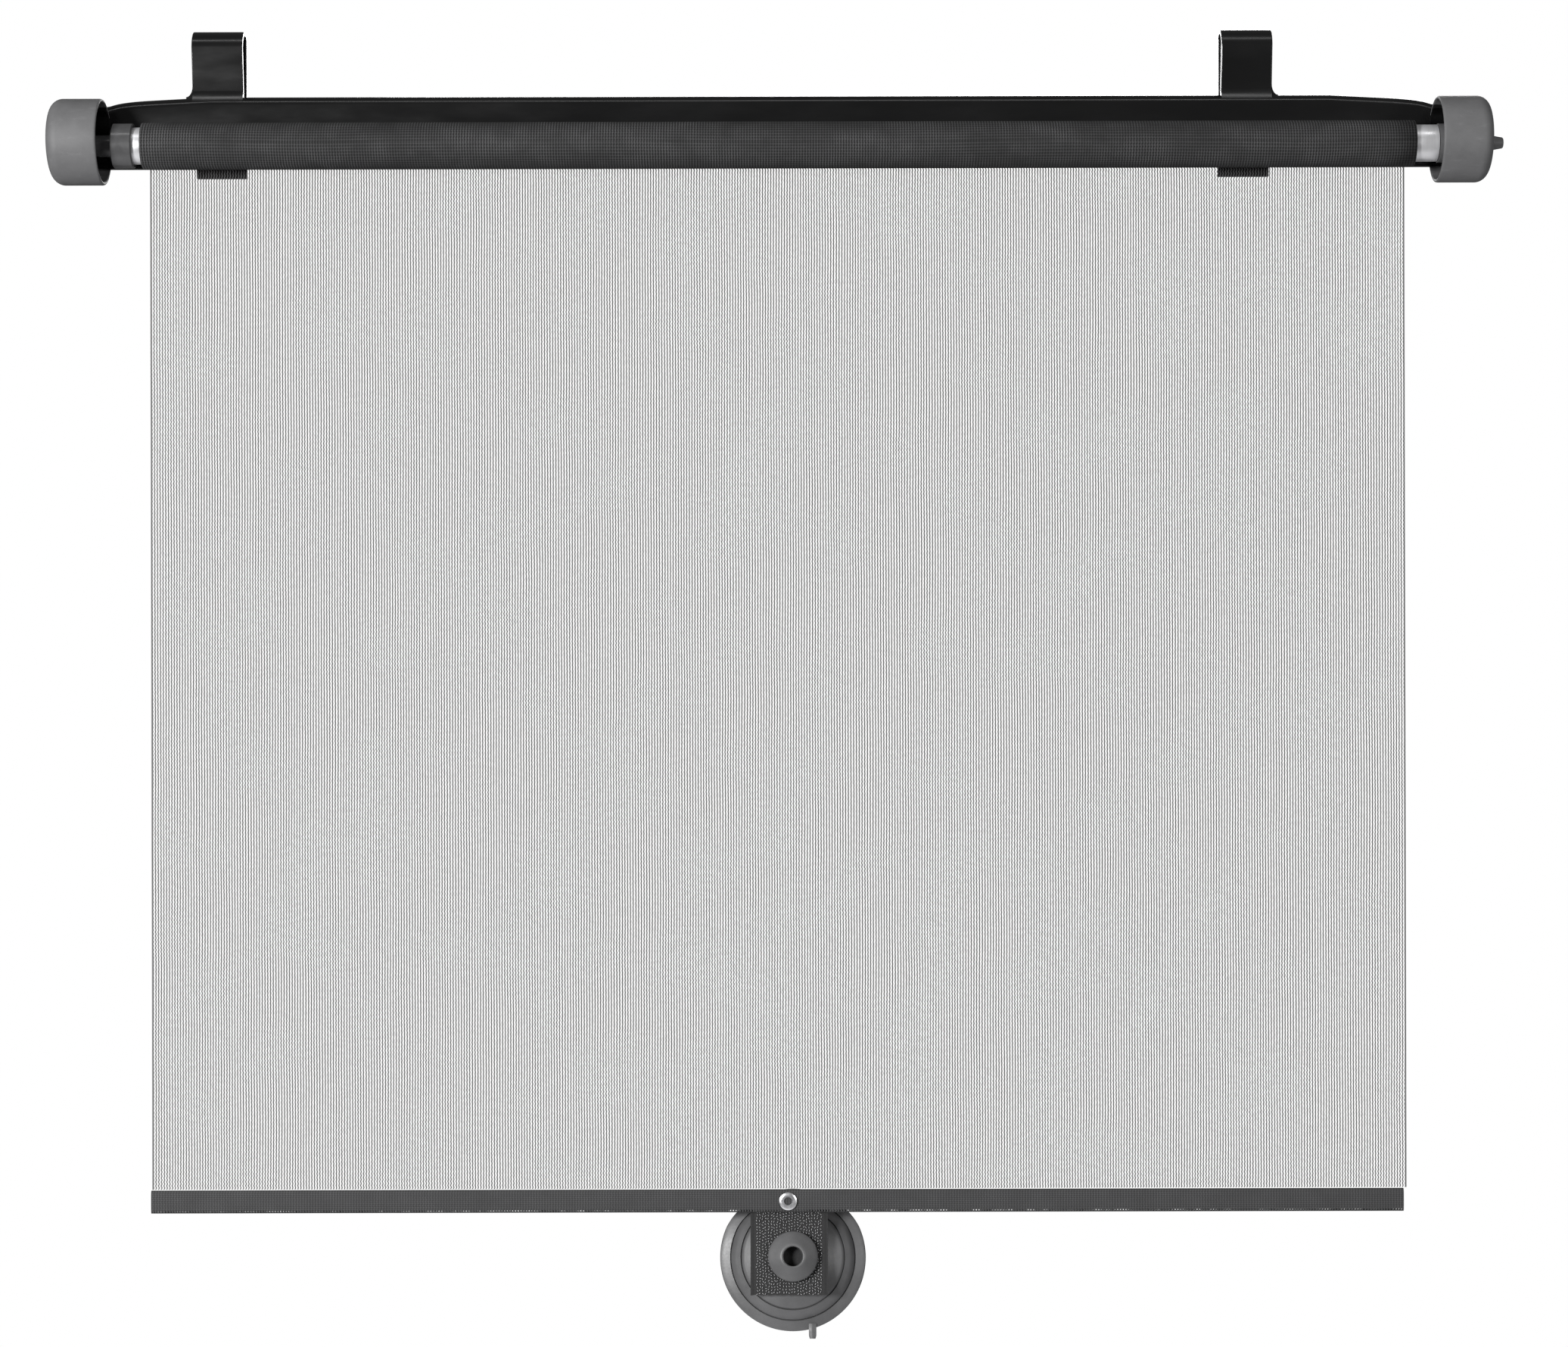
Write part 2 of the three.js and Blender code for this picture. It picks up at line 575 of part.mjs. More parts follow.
// Push button: flange behind the cap's end wall, stem to the clutch, tapered nub outside
function releaseButton() {
  return turnedAboutX([
    [RING_TIP_X, 0],
    [RING_TIP_X, BUTTON_STEM_R],
    [BUTTON_FLANGE_X, BUTTON_STEM_R],
    [BUTTON_FLANGE_X, BUTTON_FLANGE_R],
    [BUTTON_FLANGE_X + BUTTON_FLANGE, BUTTON_FLANGE_R],
    [BUTTON_FLANGE_X + BUTTON_FLANGE, BUTTON_NUB_R],
    [CAP_END_X + SEAT_GAP, BUTTON_NUB_R],
    [CAP_END_X + BUTTON_PROUD - SEAT_GAP, BUTTON_NUB_TIP_R],
    [CAP_END_X + BUTTON_PROUD, BUTTON_NUB_TIP_R - SEAT_GAP],
    [CAP_END_X + BUTTON_PROUD, 0],
  ], SMALL_TURN);
}

const COLLAR_RIGHT_X = TUBE_LEFT_X - SEAT_GAP - COLLAR_FLOOR + COLLAR_LENGTH;
const COLLAR_LEFT_X = COLLAR_RIGHT_X - COLLAR_LENGTH;
const LEFT_BOSS_X = -CAP_FLOOR_X + LEFT_BOSS_LENGTH;
const PLUG_SPIGOT_X = TUBE_LEFT_X + PLUG_SPIGOT_LENGTH;

// Idle plug: neck on the rod, collar over the tube's end, spigot inside it
function idlePlug() {
  const bore = ROD_R + SEAT_GAP;
  const edge = 0.4;
  return turnedAboutX([
    [LEFT_BOSS_X + RUN_GAP, bore],
    [LEFT_BOSS_X + RUN_GAP, PLUG_NECK_R],
    [COLLAR_LEFT_X, PLUG_NECK_R],
    [COLLAR_LEFT_X, COLLAR_R - edge],
    [COLLAR_LEFT_X + edge, COLLAR_R],
    [COLLAR_RIGHT_X - edge, COLLAR_R],
    [COLLAR_RIGHT_X, COLLAR_R - edge],
    [COLLAR_RIGHT_X, TUBE_R + SEAT_GAP],
    [TUBE_LEFT_X - SEAT_GAP, TUBE_R + SEAT_GAP],
    [TUBE_LEFT_X - SEAT_GAP, TUBE_BORE_R - SEAT_GAP],
    [PLUG_SPIGOT_X, TUBE_BORE_R - SEAT_GAP],
    [PLUG_SPIGOT_X, bore],
    [LEFT_BOSS_X + RUN_GAP, bore],
  ]);
}

function springAnchor() {
  return ringAboutX(ROD_END_X - ANCHOR_LENGTH, ROD_END_X, ROD_R + SEAT_GAP, TUBE_BORE_R - SEAT_GAP, SMALL_TURN);
}

// Wound cloth: a sleeve whose ends step in turn by turn
function fabricRoll() {
  const inner = TUBE_R + SEAT_GAP;
  const turn = (ROLL_R - inner) / ROLL_TURNS;
  const left = [];
  const right = [];
  for (let i = 0; i < ROLL_TURNS; i++) {
    const inset = i % 2 === 0 ? 0 : ROLL_STAGGER;
    left.push([ROLL_LEFT_X + inset, inner + i * turn], [ROLL_LEFT_X + inset, inner + (i + 1) * turn]);
    right.push([ROLL_RIGHT_X - inset, inner + i * turn], [ROLL_RIGHT_X - inset, inner + (i + 1) * turn]);
  }
  return turnedAboutX([...left, ...right.reverse(), left[0]]);
}

// Knitted sheet: upright ridges on one wall, with a see-through slot between each two
function shadeSheet() {
  const count = Math.round(SHEET_WIDTH / RIDGE_PITCH);
  const pitch = SHEET_WIDTH / count;
  const left = SHEET_CENTRE_X - SHEET_WIDTH / 2;
  const valleyY = SHEET_FRONT_Y + RIDGE_HEIGHT;
  const face = [[left, valleyY]];
  const slots = [];
  for (let i = 0; i < count; i++) {
    face.push([left + (i + 0.5) * pitch, SHEET_FRONT_Y], [left + (i + 1) * pitch, valleyY]);
    if (i === 0) continue;
    const slot = new THREE.BoxGeometry(SLOT_WIDTH, 4 * SHEET_WALL, SHEET_DROP - 2 * SLOT_MARGIN);
    slots.push(slot.translate(left + i * pitch, valleyY, -SHEET_DROP / 2));
  }
  const section = outline([...face, [left + SHEET_WIDTH, SHEET_BACK_Y], [left, SHEET_BACK_Y]]);
  const wall = new THREE.ExtrudeGeometry(section, { depth: SHEET_DROP, bevelEnabled: false });
  return cut(wall.translate(0, 0, -SHEET_DROP), mergeGeometries(slots));
}

// A flat loop with round folds, in Y and Z about the hem's middle
function loop(depth, height, steps) {
  const r = depth / 2;
  const reach = height / 2 - r;
  return [...arc(HEM_Y, HEM_MID_Z + reach, r, 0, 180, steps), ...arc(HEM_Y, HEM_MID_Z - reach, r, 180, 360, steps)];
}

function eyeletHole(fromY, toY) {
  return rodAboutY(fromY, toY, EYELET_BARREL_R + SEAT_GAP).translate(EYELET_X, 0, HEM_MID_Z);
}

function hemPocket() {
  const section = outline(loop(HEM_DEPTH, HEM_HEIGHT, 6));
  section.holes.push(new THREE.Path(outline(loop(HEM_DEPTH - 2 * HEM_CLOTH, HEM_HEIGHT - 2 * HEM_CLOTH, 6)).getPoints()));
  const half = SHEET_WIDTH / 2;
  const pocket = drawnAlongX(section, SHEET_CENTRE_X - half, SHEET_CENTRE_X + half);
  return cut(pocket, eyeletHole(HEM_FRONT_Y - 1, HEM_BACK_Y + 1));
}

function hemBar() {
  const half = SHEET_WIDTH / 2 - HEM_BAR_INSET;
  const section = outline(loop(HEM_BAR_DEPTH, HEM_BAR_HEIGHT, 3));
  const bar = drawnAlongX(section, SHEET_CENTRE_X - half, SHEET_CENTRE_X + half);
  return cut(bar, eyeletHole(HEM_FRONT_Y, HEM_BACK_Y));
}

const STRAP_BACK_Y = STRAP_UPPER_Y + STRAP_THICKNESS;
const WASHER_Y = STRAP_BACK_Y + SEAT_GAP;
const EYELET_ROLL_Y = WASHER_Y + WASHER_THICKNESS + SEAT_GAP;

// Eyelet: domed ring in front, barrel through hem and strap, rolled edge behind
function eyelet() {
  const face = HEM_FRONT_Y - SEAT_GAP;
  const profile = [
    [face, EYELET_BARREL_R],
    [face, EYELET_R],
    [face - EYELET_FLANGE / 2, EYELET_R],
    [face - EYELET_FLANGE, (EYELET_R + EYELET_BORE_R) / 2 + 0.3],
    [face - EYELET_FLANGE, (EYELET_R + EYELET_BORE_R) / 2 - 0.3],
    [face, EYELET_BORE_R],
    [EYELET_ROLL_Y + EYELET_ROLL, EYELET_BORE_R],
    [EYELET_ROLL_Y + EYELET_ROLL, EYELET_ROLL_R],
    [EYELET_ROLL_Y, EYELET_ROLL_R],
    [EYELET_ROLL_Y, EYELET_BARREL_R],
    [face, EYELET_BARREL_R],
  ];
  return turnedAboutY(profile).translate(EYELET_X, 0, HEM_MID_Z);
}

function eyeletWasher() {
  const bore = EYELET_BARREL_R + SEAT_GAP;
  const back = WASHER_Y + WASHER_THICKNESS;
  const profile = [[WASHER_Y, bore], [WASHER_Y, WASHER_R], [back, WASHER_R], [back, bore], [WASHER_Y, bore]];
  return turnedAboutY(profile).translate(EYELET_X, 0, HEM_MID_Z);
}

// One side of the strap, the given distance in front of its middle
function strapSide(offset) {
  const centreY = STRAP_MID_Y - STRAP_BEND_R;
  const bend = arc(centreY, STRAP_BEND_Z, STRAP_BEND_R - offset, 0, -CUP_TILT_DEG, 3);
  const [endY, endZ] = bend.at(-1);
  const leaning = STRAP_LENGTH - STRAP_TUCK - STOP_GAP - STRAP_BEND_R * CUP_TILT;
  return [
    [STRAP_MID_Y - offset, HEM_BOTTOM_Z + STRAP_TUCK],
    ...bend,
    [endY - leaning * Math.sin(CUP_TILT), endZ - leaning * Math.cos(CUP_TILT)],
  ];
}

// Carries a shape built about the middle of the cup's neck to its place in the strap
function atNeck(geometry) {
  const [bendY, bendZ] = arc(STRAP_MID_Y - STRAP_BEND_R, STRAP_BEND_Z, STRAP_BEND_R, 0, -CUP_TILT_DEG, 1)[1];
  const y = bendY - CUP_BELOW_BEND * Math.sin(CUP_TILT);
  const z = bendZ - CUP_BELOW_BEND * Math.cos(CUP_TILT);
  return geometry.rotateX(-CUP_TILT).translate(CUP_X, y, z);
}

// Strap: pile tape straight down behind the hem, then leaning to the seat with the cup's weight
function hookStrap() {
  const half = STRAP_WIDTH / 2;
  const section = outline([...strapSide(STRAP_THICKNESS / 2), ...strapSide(-STRAP_THICKNESS / 2).reverse()]);
  const tape = drawnAlongX(section, STRAP_X - half, STRAP_X + half);
  const neckHole = atNeck(rodAboutY(-NECK_U, NECK_U, NECK_R + RUN_GAP));
  return cut(tape, eyeletHole(HEM_BACK_Y, GLASS_FACE_Y), neckHole);
}

// Suction cup turned about its axis: lip, two bands, crown, neck and a head with a blind hole
function suctionCup() {
  const headBase = CUP_CROWN_RISE + NECK_LENGTH;
  const headEdge = headBase + HEAD_DISH;
  const headRim = headEdge + HEAD_RIM;
  const headTop = headRim + HEAD_RISE;
  const crown = [];
  for (let i = 1; i <= 6; i++) {
    const t = i / 6;
    const r = THREE.MathUtils.lerp(CUP_RING_R - CUP_GROOVE, CUP_CROWN_R, t);
    crown.push([THREE.MathUtils.lerp(CUP_RING_RISE, CUP_CROWN_RISE, Math.sin((t * Math.PI) / 2)), r]);
  }
  const hollow = [];
  for (let i = 0; i <= 5; i++) {
    const t = i / 5;
    hollow.push([CUP_HOLLOW * (1 - t ** 2), (CUP_R - CUP_LIP_FLAT) * t]);
  }
  const profile = [
    ...hollow,
    [0, CUP_R],
    [CUP_LIP, CUP_R],
    [CUP_BAND_RISE, CUP_BAND_R + CUP_GROOVE],
    [CUP_BAND_RISE - CUP_GROOVE, CUP_BAND_R],
    [CUP_BAND_RISE + CUP_GROOVE, CUP_BAND_R - CUP_GROOVE],
    [CUP_RING_RISE, CUP_RING_R + CUP_GROOVE],
    [CUP_RING_RISE - CUP_GROOVE, CUP_RING_R],
    ...crown,
    [CUP_CROWN_RISE, NECK_R],
    [headBase, NECK_R],
    [headEdge, HEAD_R - HEAD_RIM / 4],
    [headEdge + HEAD_RIM / 2, HEAD_R],
    [headRim, HEAD_R - HEAD_RIM / 4],
    [headTop, HEAD_HOLE_LIP_R],
    [headTop, HEAD_HOLE_R],
    [headTop - HEAD_HOLE_DEPTH, HEAD_HOLE_R - HEAD_HOLE_TAPER],
    [headTop - HEAD_HOLE_DEPTH, 0],
  ];
  const body = turnedAboutY(profile.map(([u, r]) => [NECK_U - u, r]), CUP_TURN);
  const tabTop = CUP_LIP_FLAT - Math.sqrt(CUP_R ** 2 - PULL_TAB_OFFSET ** 2);
  const tabLength = PULL_TAB_REACH + CUP_LIP_FLAT;
  const tab = new THREE.BoxGeometry(PULL_TAB_WIDTH, PULL_TAB_THICKNESS, tabLength);
  tab.translate(PULL_TAB_OFFSET, NECK_U - PULL_TAB_THICKNESS / 2, tabTop - tabLength / 2);
  return atNeck(join(body, tab));
}

add('carrier_rail', carrierRail(), 'glossBlack');
add('end_cap_left', endCapLeft(), 'capGrey');
add('end_cap_right', endCapRight(), 'capGrey');
add('ratchet_ring', ratchetRing(), 'innerPlastic');
add('spring_rod', rodAboutX(-CAP_FLOOR_X + SEAT_GAP, ROD_END_X, ROD_R, SMALL_TURN), 'springSteel');
add('spring_anchor', springAnchor(), 'innerPlastic');
add('torsion_spring', coil(PLUG_SPIGOT_X + SEAT_GAP, ROD_END_X - ANCHOR_LENGTH - SEAT_GAP,
  SPRING_COIL_R, SPRING_WIRE_R, SPRING_TURNS), 'springSteel');
add('roller_tube', ringAboutX(TUBE_LEFT_X, TUBE_RIGHT_X, TUBE_BORE_R, TUBE_R), 'brightSteel');
add('idle_plug', idlePlug(), 'collarBlack');
add('drive_plug', drivePlug(), 'innerPlastic');
add('fabric_roll', fabricRoll(), 'blackMesh');
add('ratchet_clutch', ratchetClutch(), 'innerPlastic');
add('clutch_spring', coil(CLUTCH_FACE_X - CLUTCH_SHAFT - SEAT_GAP - RETURN_LENGTH,
  CLUTCH_FACE_X - CLUTCH_SHAFT - SEAT_GAP, RETURN_SPRING_R, RETURN_WIRE_R, RETURN_TURNS), 'springSteel');
add('release_button', releaseButton(), 'capGrey');
add('shade_sheet', shadeSheet(), 'greyMesh');
add('hem_pocket', hemPocket(), 'blackMesh');
add('hem_bar', hemBar(), 'innerPlastic');
add('eyelet', eyelet(), 'eyeletSteel');
add('eyelet_washer', eyeletWasher(), 'eyeletSteel');
add('hook_strap', hookStrap(), 'pileTape');
add('suction_cup', suctionCup(), 'cupVinyl');

export default shade;
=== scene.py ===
# %% [markdown]
# # A roller sunshade for a car side window
#
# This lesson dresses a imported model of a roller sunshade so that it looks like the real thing.
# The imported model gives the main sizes. Here each piece gets its surface: knitted cloth, moulded
# plastic, drawn tube, pile tape and soft vinyl. All lengths are in metres.

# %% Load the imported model
import math
import random

import bmesh
import bpy
from mathutils import Matrix, Vector, noise


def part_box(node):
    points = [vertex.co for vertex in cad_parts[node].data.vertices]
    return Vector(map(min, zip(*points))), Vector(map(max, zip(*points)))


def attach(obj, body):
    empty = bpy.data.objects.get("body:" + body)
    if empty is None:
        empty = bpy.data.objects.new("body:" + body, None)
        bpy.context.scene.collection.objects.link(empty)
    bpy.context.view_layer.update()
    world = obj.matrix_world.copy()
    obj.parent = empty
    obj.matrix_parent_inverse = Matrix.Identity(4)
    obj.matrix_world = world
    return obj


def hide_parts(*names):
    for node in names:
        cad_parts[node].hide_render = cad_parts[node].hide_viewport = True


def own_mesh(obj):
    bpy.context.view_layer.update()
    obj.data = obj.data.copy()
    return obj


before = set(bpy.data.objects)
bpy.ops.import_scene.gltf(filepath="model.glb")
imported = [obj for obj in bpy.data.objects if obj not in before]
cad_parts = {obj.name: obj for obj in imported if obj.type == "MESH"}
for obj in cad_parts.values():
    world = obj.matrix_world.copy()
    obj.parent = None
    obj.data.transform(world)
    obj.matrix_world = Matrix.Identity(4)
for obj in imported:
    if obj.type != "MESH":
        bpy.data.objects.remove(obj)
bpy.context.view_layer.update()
random.seed(4)
MM = 0.001
AXIS_Y, AXIS_Z = -19.45, -46.2
AXIS = Vector((0, AXIS_Y * MM, AXIS_Z * MM))

# %% [markdown]
# ## The camera
#
# The photograph was taken from the front, level, with the lens about as high as the middle of
# the sheet.
# The lens is worked out from how much smaller the far things look, so every later comparison
# starts from the same view.

# %% Place the camera
FOCAL_PIXELS, PHOTO_WIDE, SENSOR = 4400, 2072, 36
camera = bpy.data.objects.new("camera", bpy.data.cameras.new("camera"))
bpy.context.scene.collection.objects.link(camera)
camera.location = (5.05 * MM, -1326.95 * MM, -253.9 * MM)
camera.rotation_euler = (math.radians(90), math.radians(0.13), 0)
camera.data.sensor_width = SENSOR
camera.data.sensor_fit = "HORIZONTAL"
camera.data.lens = FOCAL_PIXELS / PHOTO_WIDE * SENSOR
camera.data.clip_start = 0.05
bpy.context.scene.camera = camera
print("camera is", round(-camera.location.y, 3), "m in front of the glass")

# %% [markdown]
# ## Two helpers for making pieces
#
# A new piece is a list of points and faces. It is shaded smooth, except where two faces meet at
# a sharp angle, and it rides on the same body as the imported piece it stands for.

# %% Make a piece from points and faces
def smooth_by_angle(obj, degrees=35, weld=False):
    group = bpy.data.node_groups.new(obj.name + "_smooth", "GeometryNodeTree")
    group.interface.new_socket("Geometry", in_out="INPUT", socket_type="NodeSocketGeometry")
    group.interface.new_socket("Geometry", in_out="OUTPUT", socket_type="NodeSocketGeometry")
    start = group.nodes.new("NodeGroupInput")
    end = group.nodes.new("NodeGroupOutput")
    last = start.outputs[0]
    if weld:
        merge = group.nodes.new("GeometryNodeMergeByDistance")
        merge.inputs["Distance"].default_value = 2e-6
        group.links.new(last, merge.inputs["Geometry"])
        last = merge.outputs[0]
    faces = group.nodes.new("GeometryNodeSetShadeSmooth")
    faces.domain = "FACE"
    angle = group.nodes.new("GeometryNodeInputMeshEdgeAngle")
    sharp = group.nodes.new("ShaderNodeMath")
    sharp.operation = "GREATER_THAN"
    sharp.inputs[1].default_value = math.radians(degrees)
    edges = group.nodes.new("GeometryNodeSetShadeSmooth")
    edges.domain = "EDGE"
    edges.inputs["Shade Smooth"].default_value = False
    group.links.new(last, faces.inputs["Geometry"])
    group.links.new(faces.outputs[0], edges.inputs["Geometry"])
    group.links.new(angle.outputs["Unsigned Angle"], sharp.inputs[0])
    group.links.new(sharp.outputs[0], edges.inputs["Selection"])
    group.links.new(edges.outputs[0], end.inputs[0])
    obj.modifiers.new("smooth", "NODES").node_group = group


def piece(name, points, faces, body, material, stands_for=(), slot=None, degrees=35):
    mesh = bpy.data.meshes.new(name)
    mesh.from_pydata([Vector(p) for p in points], [], faces)
    mesh.validate()
    tidy = bmesh.new()
    tidy.from_mesh(mesh)
    bmesh.ops.recalc_face_normals(tidy, faces=tidy.faces)
    tidy.to_mesh(mesh)
    tidy.free()
    obj = bpy.data.objects.new(name, mesh)
    bpy.context.scene.collection.objects.link(obj)
    mesh.materials.append(material)
    smooth_by_angle(obj, degrees)
    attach(obj, body)
    if stands_for:
        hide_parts(*stands_for)
    print(name, "has", len(faces), "faces")
    return obj


def grid_faces(rows, columns, wrap=False, start=0):
    faces = []
    for r in range(rows - 1):
        for c in range(columns if wrap else columns - 1):
            d = (c + 1) % columns
            faces.append((start + r * columns + c, start + r * columns + d,
                          start + (r + 1) * columns + d, start + (r + 1) * columns + c))
    return faces


print("a grid of 3 rows and 4 columns has", len(grid_faces(3, 4)), "faces")

# %% [markdown]
# ## A helper for materials
#
# A material is a small graph. This helper adds a node, sets its values and joins its inputs in
# one call, so that each material below reads like a recipe.

# %% Build material graphs
class Recipe:
    def __init__(self, name):
        self.material = bpy.data.materials.new(name)
        self.material.use_nodes = True
        self.tree = self.material.node_tree
        self.tree.nodes.clear()
        self.out = self.tree.nodes.new("ShaderNodeOutputMaterial")
        self.place = self.tree.nodes.new("ShaderNodeTexCoord").outputs["Object"]

    def node(self, kind, output=0, settings=None, **inputs):
        made = self.tree.nodes.new("ShaderNode" + kind)
        for key, value in (settings or {}).items():
            setattr(made, key, value)
        for key, value in inputs.items():
            numbered = key[0] == "i" and key[1:].isdigit()
            socket = made.inputs[int(key[1:]) if numbered else key.replace("_", " ")]
            if isinstance(value, bpy.types.NodeSocket):
                self.tree.links.new(value, socket)
            else:
                socket.default_value = value
        return made.outputs[output]

    def math(self, operation, a, b=0.0, c=0.0):
        return self.node("Math", settings={"operation": operation}, i0=a, i1=b, i2=c)

    def noise(self, scale, detail=3.0, roughness=0.5, stretch=None):
        where = self.place
        if stretch:
            where = self.node("Mapping", Vector=self.place, Scale=stretch)
        return self.node("TexNoise", Vector=where, Scale=scale, Detail=detail, Roughness=roughness)

    def between(self, value, low, high, to_low=0.0, to_high=1.0):
        return self.node("MapRange", i0=value, i1=low, i2=high, i3=to_low, i4=to_high)

    def tint(self, value, dark, light):
        ramp = self.tree.nodes.new("ShaderNodeValToRGB")
        ramp.color_ramp.elements[0].color = (*dark, 1)
        ramp.color_ramp.elements[1].color = (*light, 1)
        self.tree.links.new(value, ramp.inputs[0])
        return ramp.outputs[0]

    def bump(self, height, strength, distance, normal=None):
        extra = {"Normal": normal} if normal is not None else {}
        return self.node("Bump", Strength=strength, Distance=distance, Height=height, **extra)

    def surface(self, **inputs):
        made = self.tree.nodes.new("ShaderNodeBsdfPrincipled")
        for key, value in inputs.items():
            socket = made.inputs[key.replace("_", " ")]
            if isinstance(value, bpy.types.NodeSocket):
                self.tree.links.new(value, socket)
            else:
                socket.default_value = value
        return made.outputs[0]

    def done(self, shader):
        self.tree.links.new(shader, self.out.inputs["Surface"])
        return self.material


def grey(value):
    return (value, value, value * 1.02)


print("a middle grey is", grey(0.5))

# %% [markdown]
# ## Moulded plastics
#
# The rail is gloss black with faint waves in its skin, as a long moulding has. The caps are matt
# with a fine spark-eroded grain and light scuffs. Both are the same black plastic underneath.

# %% Plastics
def gloss_black():
    r = Recipe("gloss_black")
    wave = r.noise(90, 2, 0.5, (0.25, 1, 1))
    grain = r.noise(2600, 2)
    smear = r.noise(55, 4, 0.6, (0.3, 1, 1))
    rough = r.between(smear, 0.35, 0.7, 0.16, 0.3)
    normal = r.bump(grain, 0.12, 0.00003, r.bump(wave, 0.25, 0.0004))
    colour = r.tint(smear, grey(0.004), grey(0.007))
    return r.done(r.surface(Base_Color=colour, Roughness=rough, Specular_IOR_Level=0.36, Normal=normal))


def cap_grain():
    r = Recipe("cap_grain")
    grain = r.noise(2400, 3, 0.6)
    cloud = r.noise(120, 5, 0.65)
    scuff = r.between(r.noise(420, 6, 0.75, (0.35, 1, 1)), 0.56, 0.74)
    worn = r.math("MULTIPLY_ADD", scuff, 0.35, r.math("MULTIPLY", cloud, 0.7))
    colour = r.tint(worn, grey(0.09), grey(0.18))
    rough = r.between(cloud, 0.3, 0.7, 0.52, 0.66)
    normal = r.bump(grain, 0.35, 0.00012)
    return r.done(r.surface(Base_Color=colour, Roughness=rough, Specular_IOR_Level=0.5, Normal=normal))


def plain_plastic(name, dark, light, rough):
    r = Recipe(name)
    cloud = r.noise(260, 4, 0.6)
    normal = r.bump(r.noise(2200, 2), 0.2, 0.00006)
    rougher = r.between(cloud, 0.3, 0.7, rough * 0.85, rough * 1.2)
    colour = r.tint(cloud, grey(dark), grey(light))
    return r.done(r.surface(Base_Color=colour, Roughness=rougher, Normal=normal))


GLOSS_BLACK = gloss_black()
CAP_GRAIN = cap_grain()
COLLAR_BLACK = plain_plastic("collar_black", 0.05, 0.085, 0.22)
INNER_PLASTIC = plain_plastic("inner_plastic", 0.1, 0.14, 0.45)
print("plastics:", [m.name for m in (GLOSS_BLACK, CAP_GRAIN, COLLAR_BLACK, INNER_PLASTIC)])

# %% [markdown]
# ## Metals
#
# The tube is drawn, so its fine scratches run round it where it was polished. The springs are
# oiled wire. The eyelet is plated and pressed, with a soft haze.

# %% Metals
def metal(name, shade, rough, stretch, streak, pure=1.0):
    r = Recipe(name)
    lines = r.noise(900, 4, 0.7, stretch)
    haze = r.noise(160, 3)
    both = r.math("ADD", r.math("MULTIPLY", lines, 0.5), r.math("MULTIPLY", haze, 0.5))
    rougher = r.between(both, 0.3, 0.7, rough * 0.7, rough * 1.5)
    colour = r.tint(lines, grey(shade * 0.82), grey(shade))
    normal = r.bump(lines, streak, 0.00006)
    return r.done(r.surface(Base_Color=colour, Metallic=pure, Roughness=rougher, Normal=normal))


BRIGHT_TUBE = metal("bright_tube", 0.9, 0.34, (1, 0.05, 0.05), 0.25, 0.6)
SPRING_STEEL = metal("spring_steel", 0.4, 0.35, (1, 1, 1), 0.2)
EYELET_STEEL = metal("eyelet_steel", 0.95, 0.3, (1, 1, 1), 0.15)
print("metals:", [m.name for m in (BRIGHT_TUBE, SPRING_STEEL, EYELET_STEEL)])

# %% [markdown]
# ## Knitted cloth
#
# The sheet is a warp knit. Its upright stitches, the wales, zigzag a little, and light shows
# between them. A shader is the honest way to draw 460 wales: one thin sheet, with the gaps cut
# by a pattern at the true pitch. The same knit wound up close makes the dark roll.

# %% Cloth
WALE = 1.079 * MM
COURSE = 1.57 * MM
SHEET_MIDDLE = 2.8 * MM
SELVEDGE_START, SELVEDGE_FULL = 247.3 * MM, 247.6 * MM
ROLL_R, ROLL_ROW = 9.25, 1.25
HEM_ROW = 0.75 * MM
PICOT_Z = -466.25 * MM


def knit_lines(r, wale=WALE, course=COURSE, zigzag=0.3):
    axes = r.node("SeparateXYZ", Vector=r.place).node
    wander = r.noise(60, 2, 0.5, (1, 1, 0.3))
    across = r.math("MULTIPLY_ADD", wander, 0.5, r.math("DIVIDE", axes.outputs["X"], wale))
    along = r.math("DIVIDE", axes.outputs["Z"], course)
    strength = r.between(r.noise(45, 2), 0.35, 0.65, zigzag, zigzag * 2.6)
    swing = r.math("MULTIPLY", r.math("PINGPONG", along, 0.5), strength)
    shifted = r.math("ADD", swing, across)
    wale_line = r.math("ABSOLUTE", r.math("SUBTRACT", r.math("FRACT", shifted), 0.5))
    return wale_line, axes


def open_knit():
    r = Recipe("open_knit")
    wale, axes = knit_lines(r)
    thread = r.between(wale, 0.13, 0.25, 1.0, 0.0)
    loose = r.between(r.noise(700, 2), 0.35, 0.65, 0.0, 0.14)
    edge = r.math("ABSOLUTE", r.math("SUBTRACT", axes.outputs["X"], SHEET_MIDDLE))
    selvedge = r.between(edge, SELVEDGE_START, SELVEDGE_FULL, 0.0, 0.75)
    cover = r.math("MAXIMUM", r.math("MAXIMUM", thread, loose), selvedge)
    fuzz = r.noise(1500, 2)
    colour = r.tint(fuzz, grey(0.03), grey(0.08))
    cloth = r.surface(Base_Color=colour, Roughness=0.85, Normal=r.bump(thread, 0.5, 0.0002))
    clear = r.node("BsdfTransparent")
    return r.done(r.node("MixShader", i0=cover, i1=clear, i2=cloth))


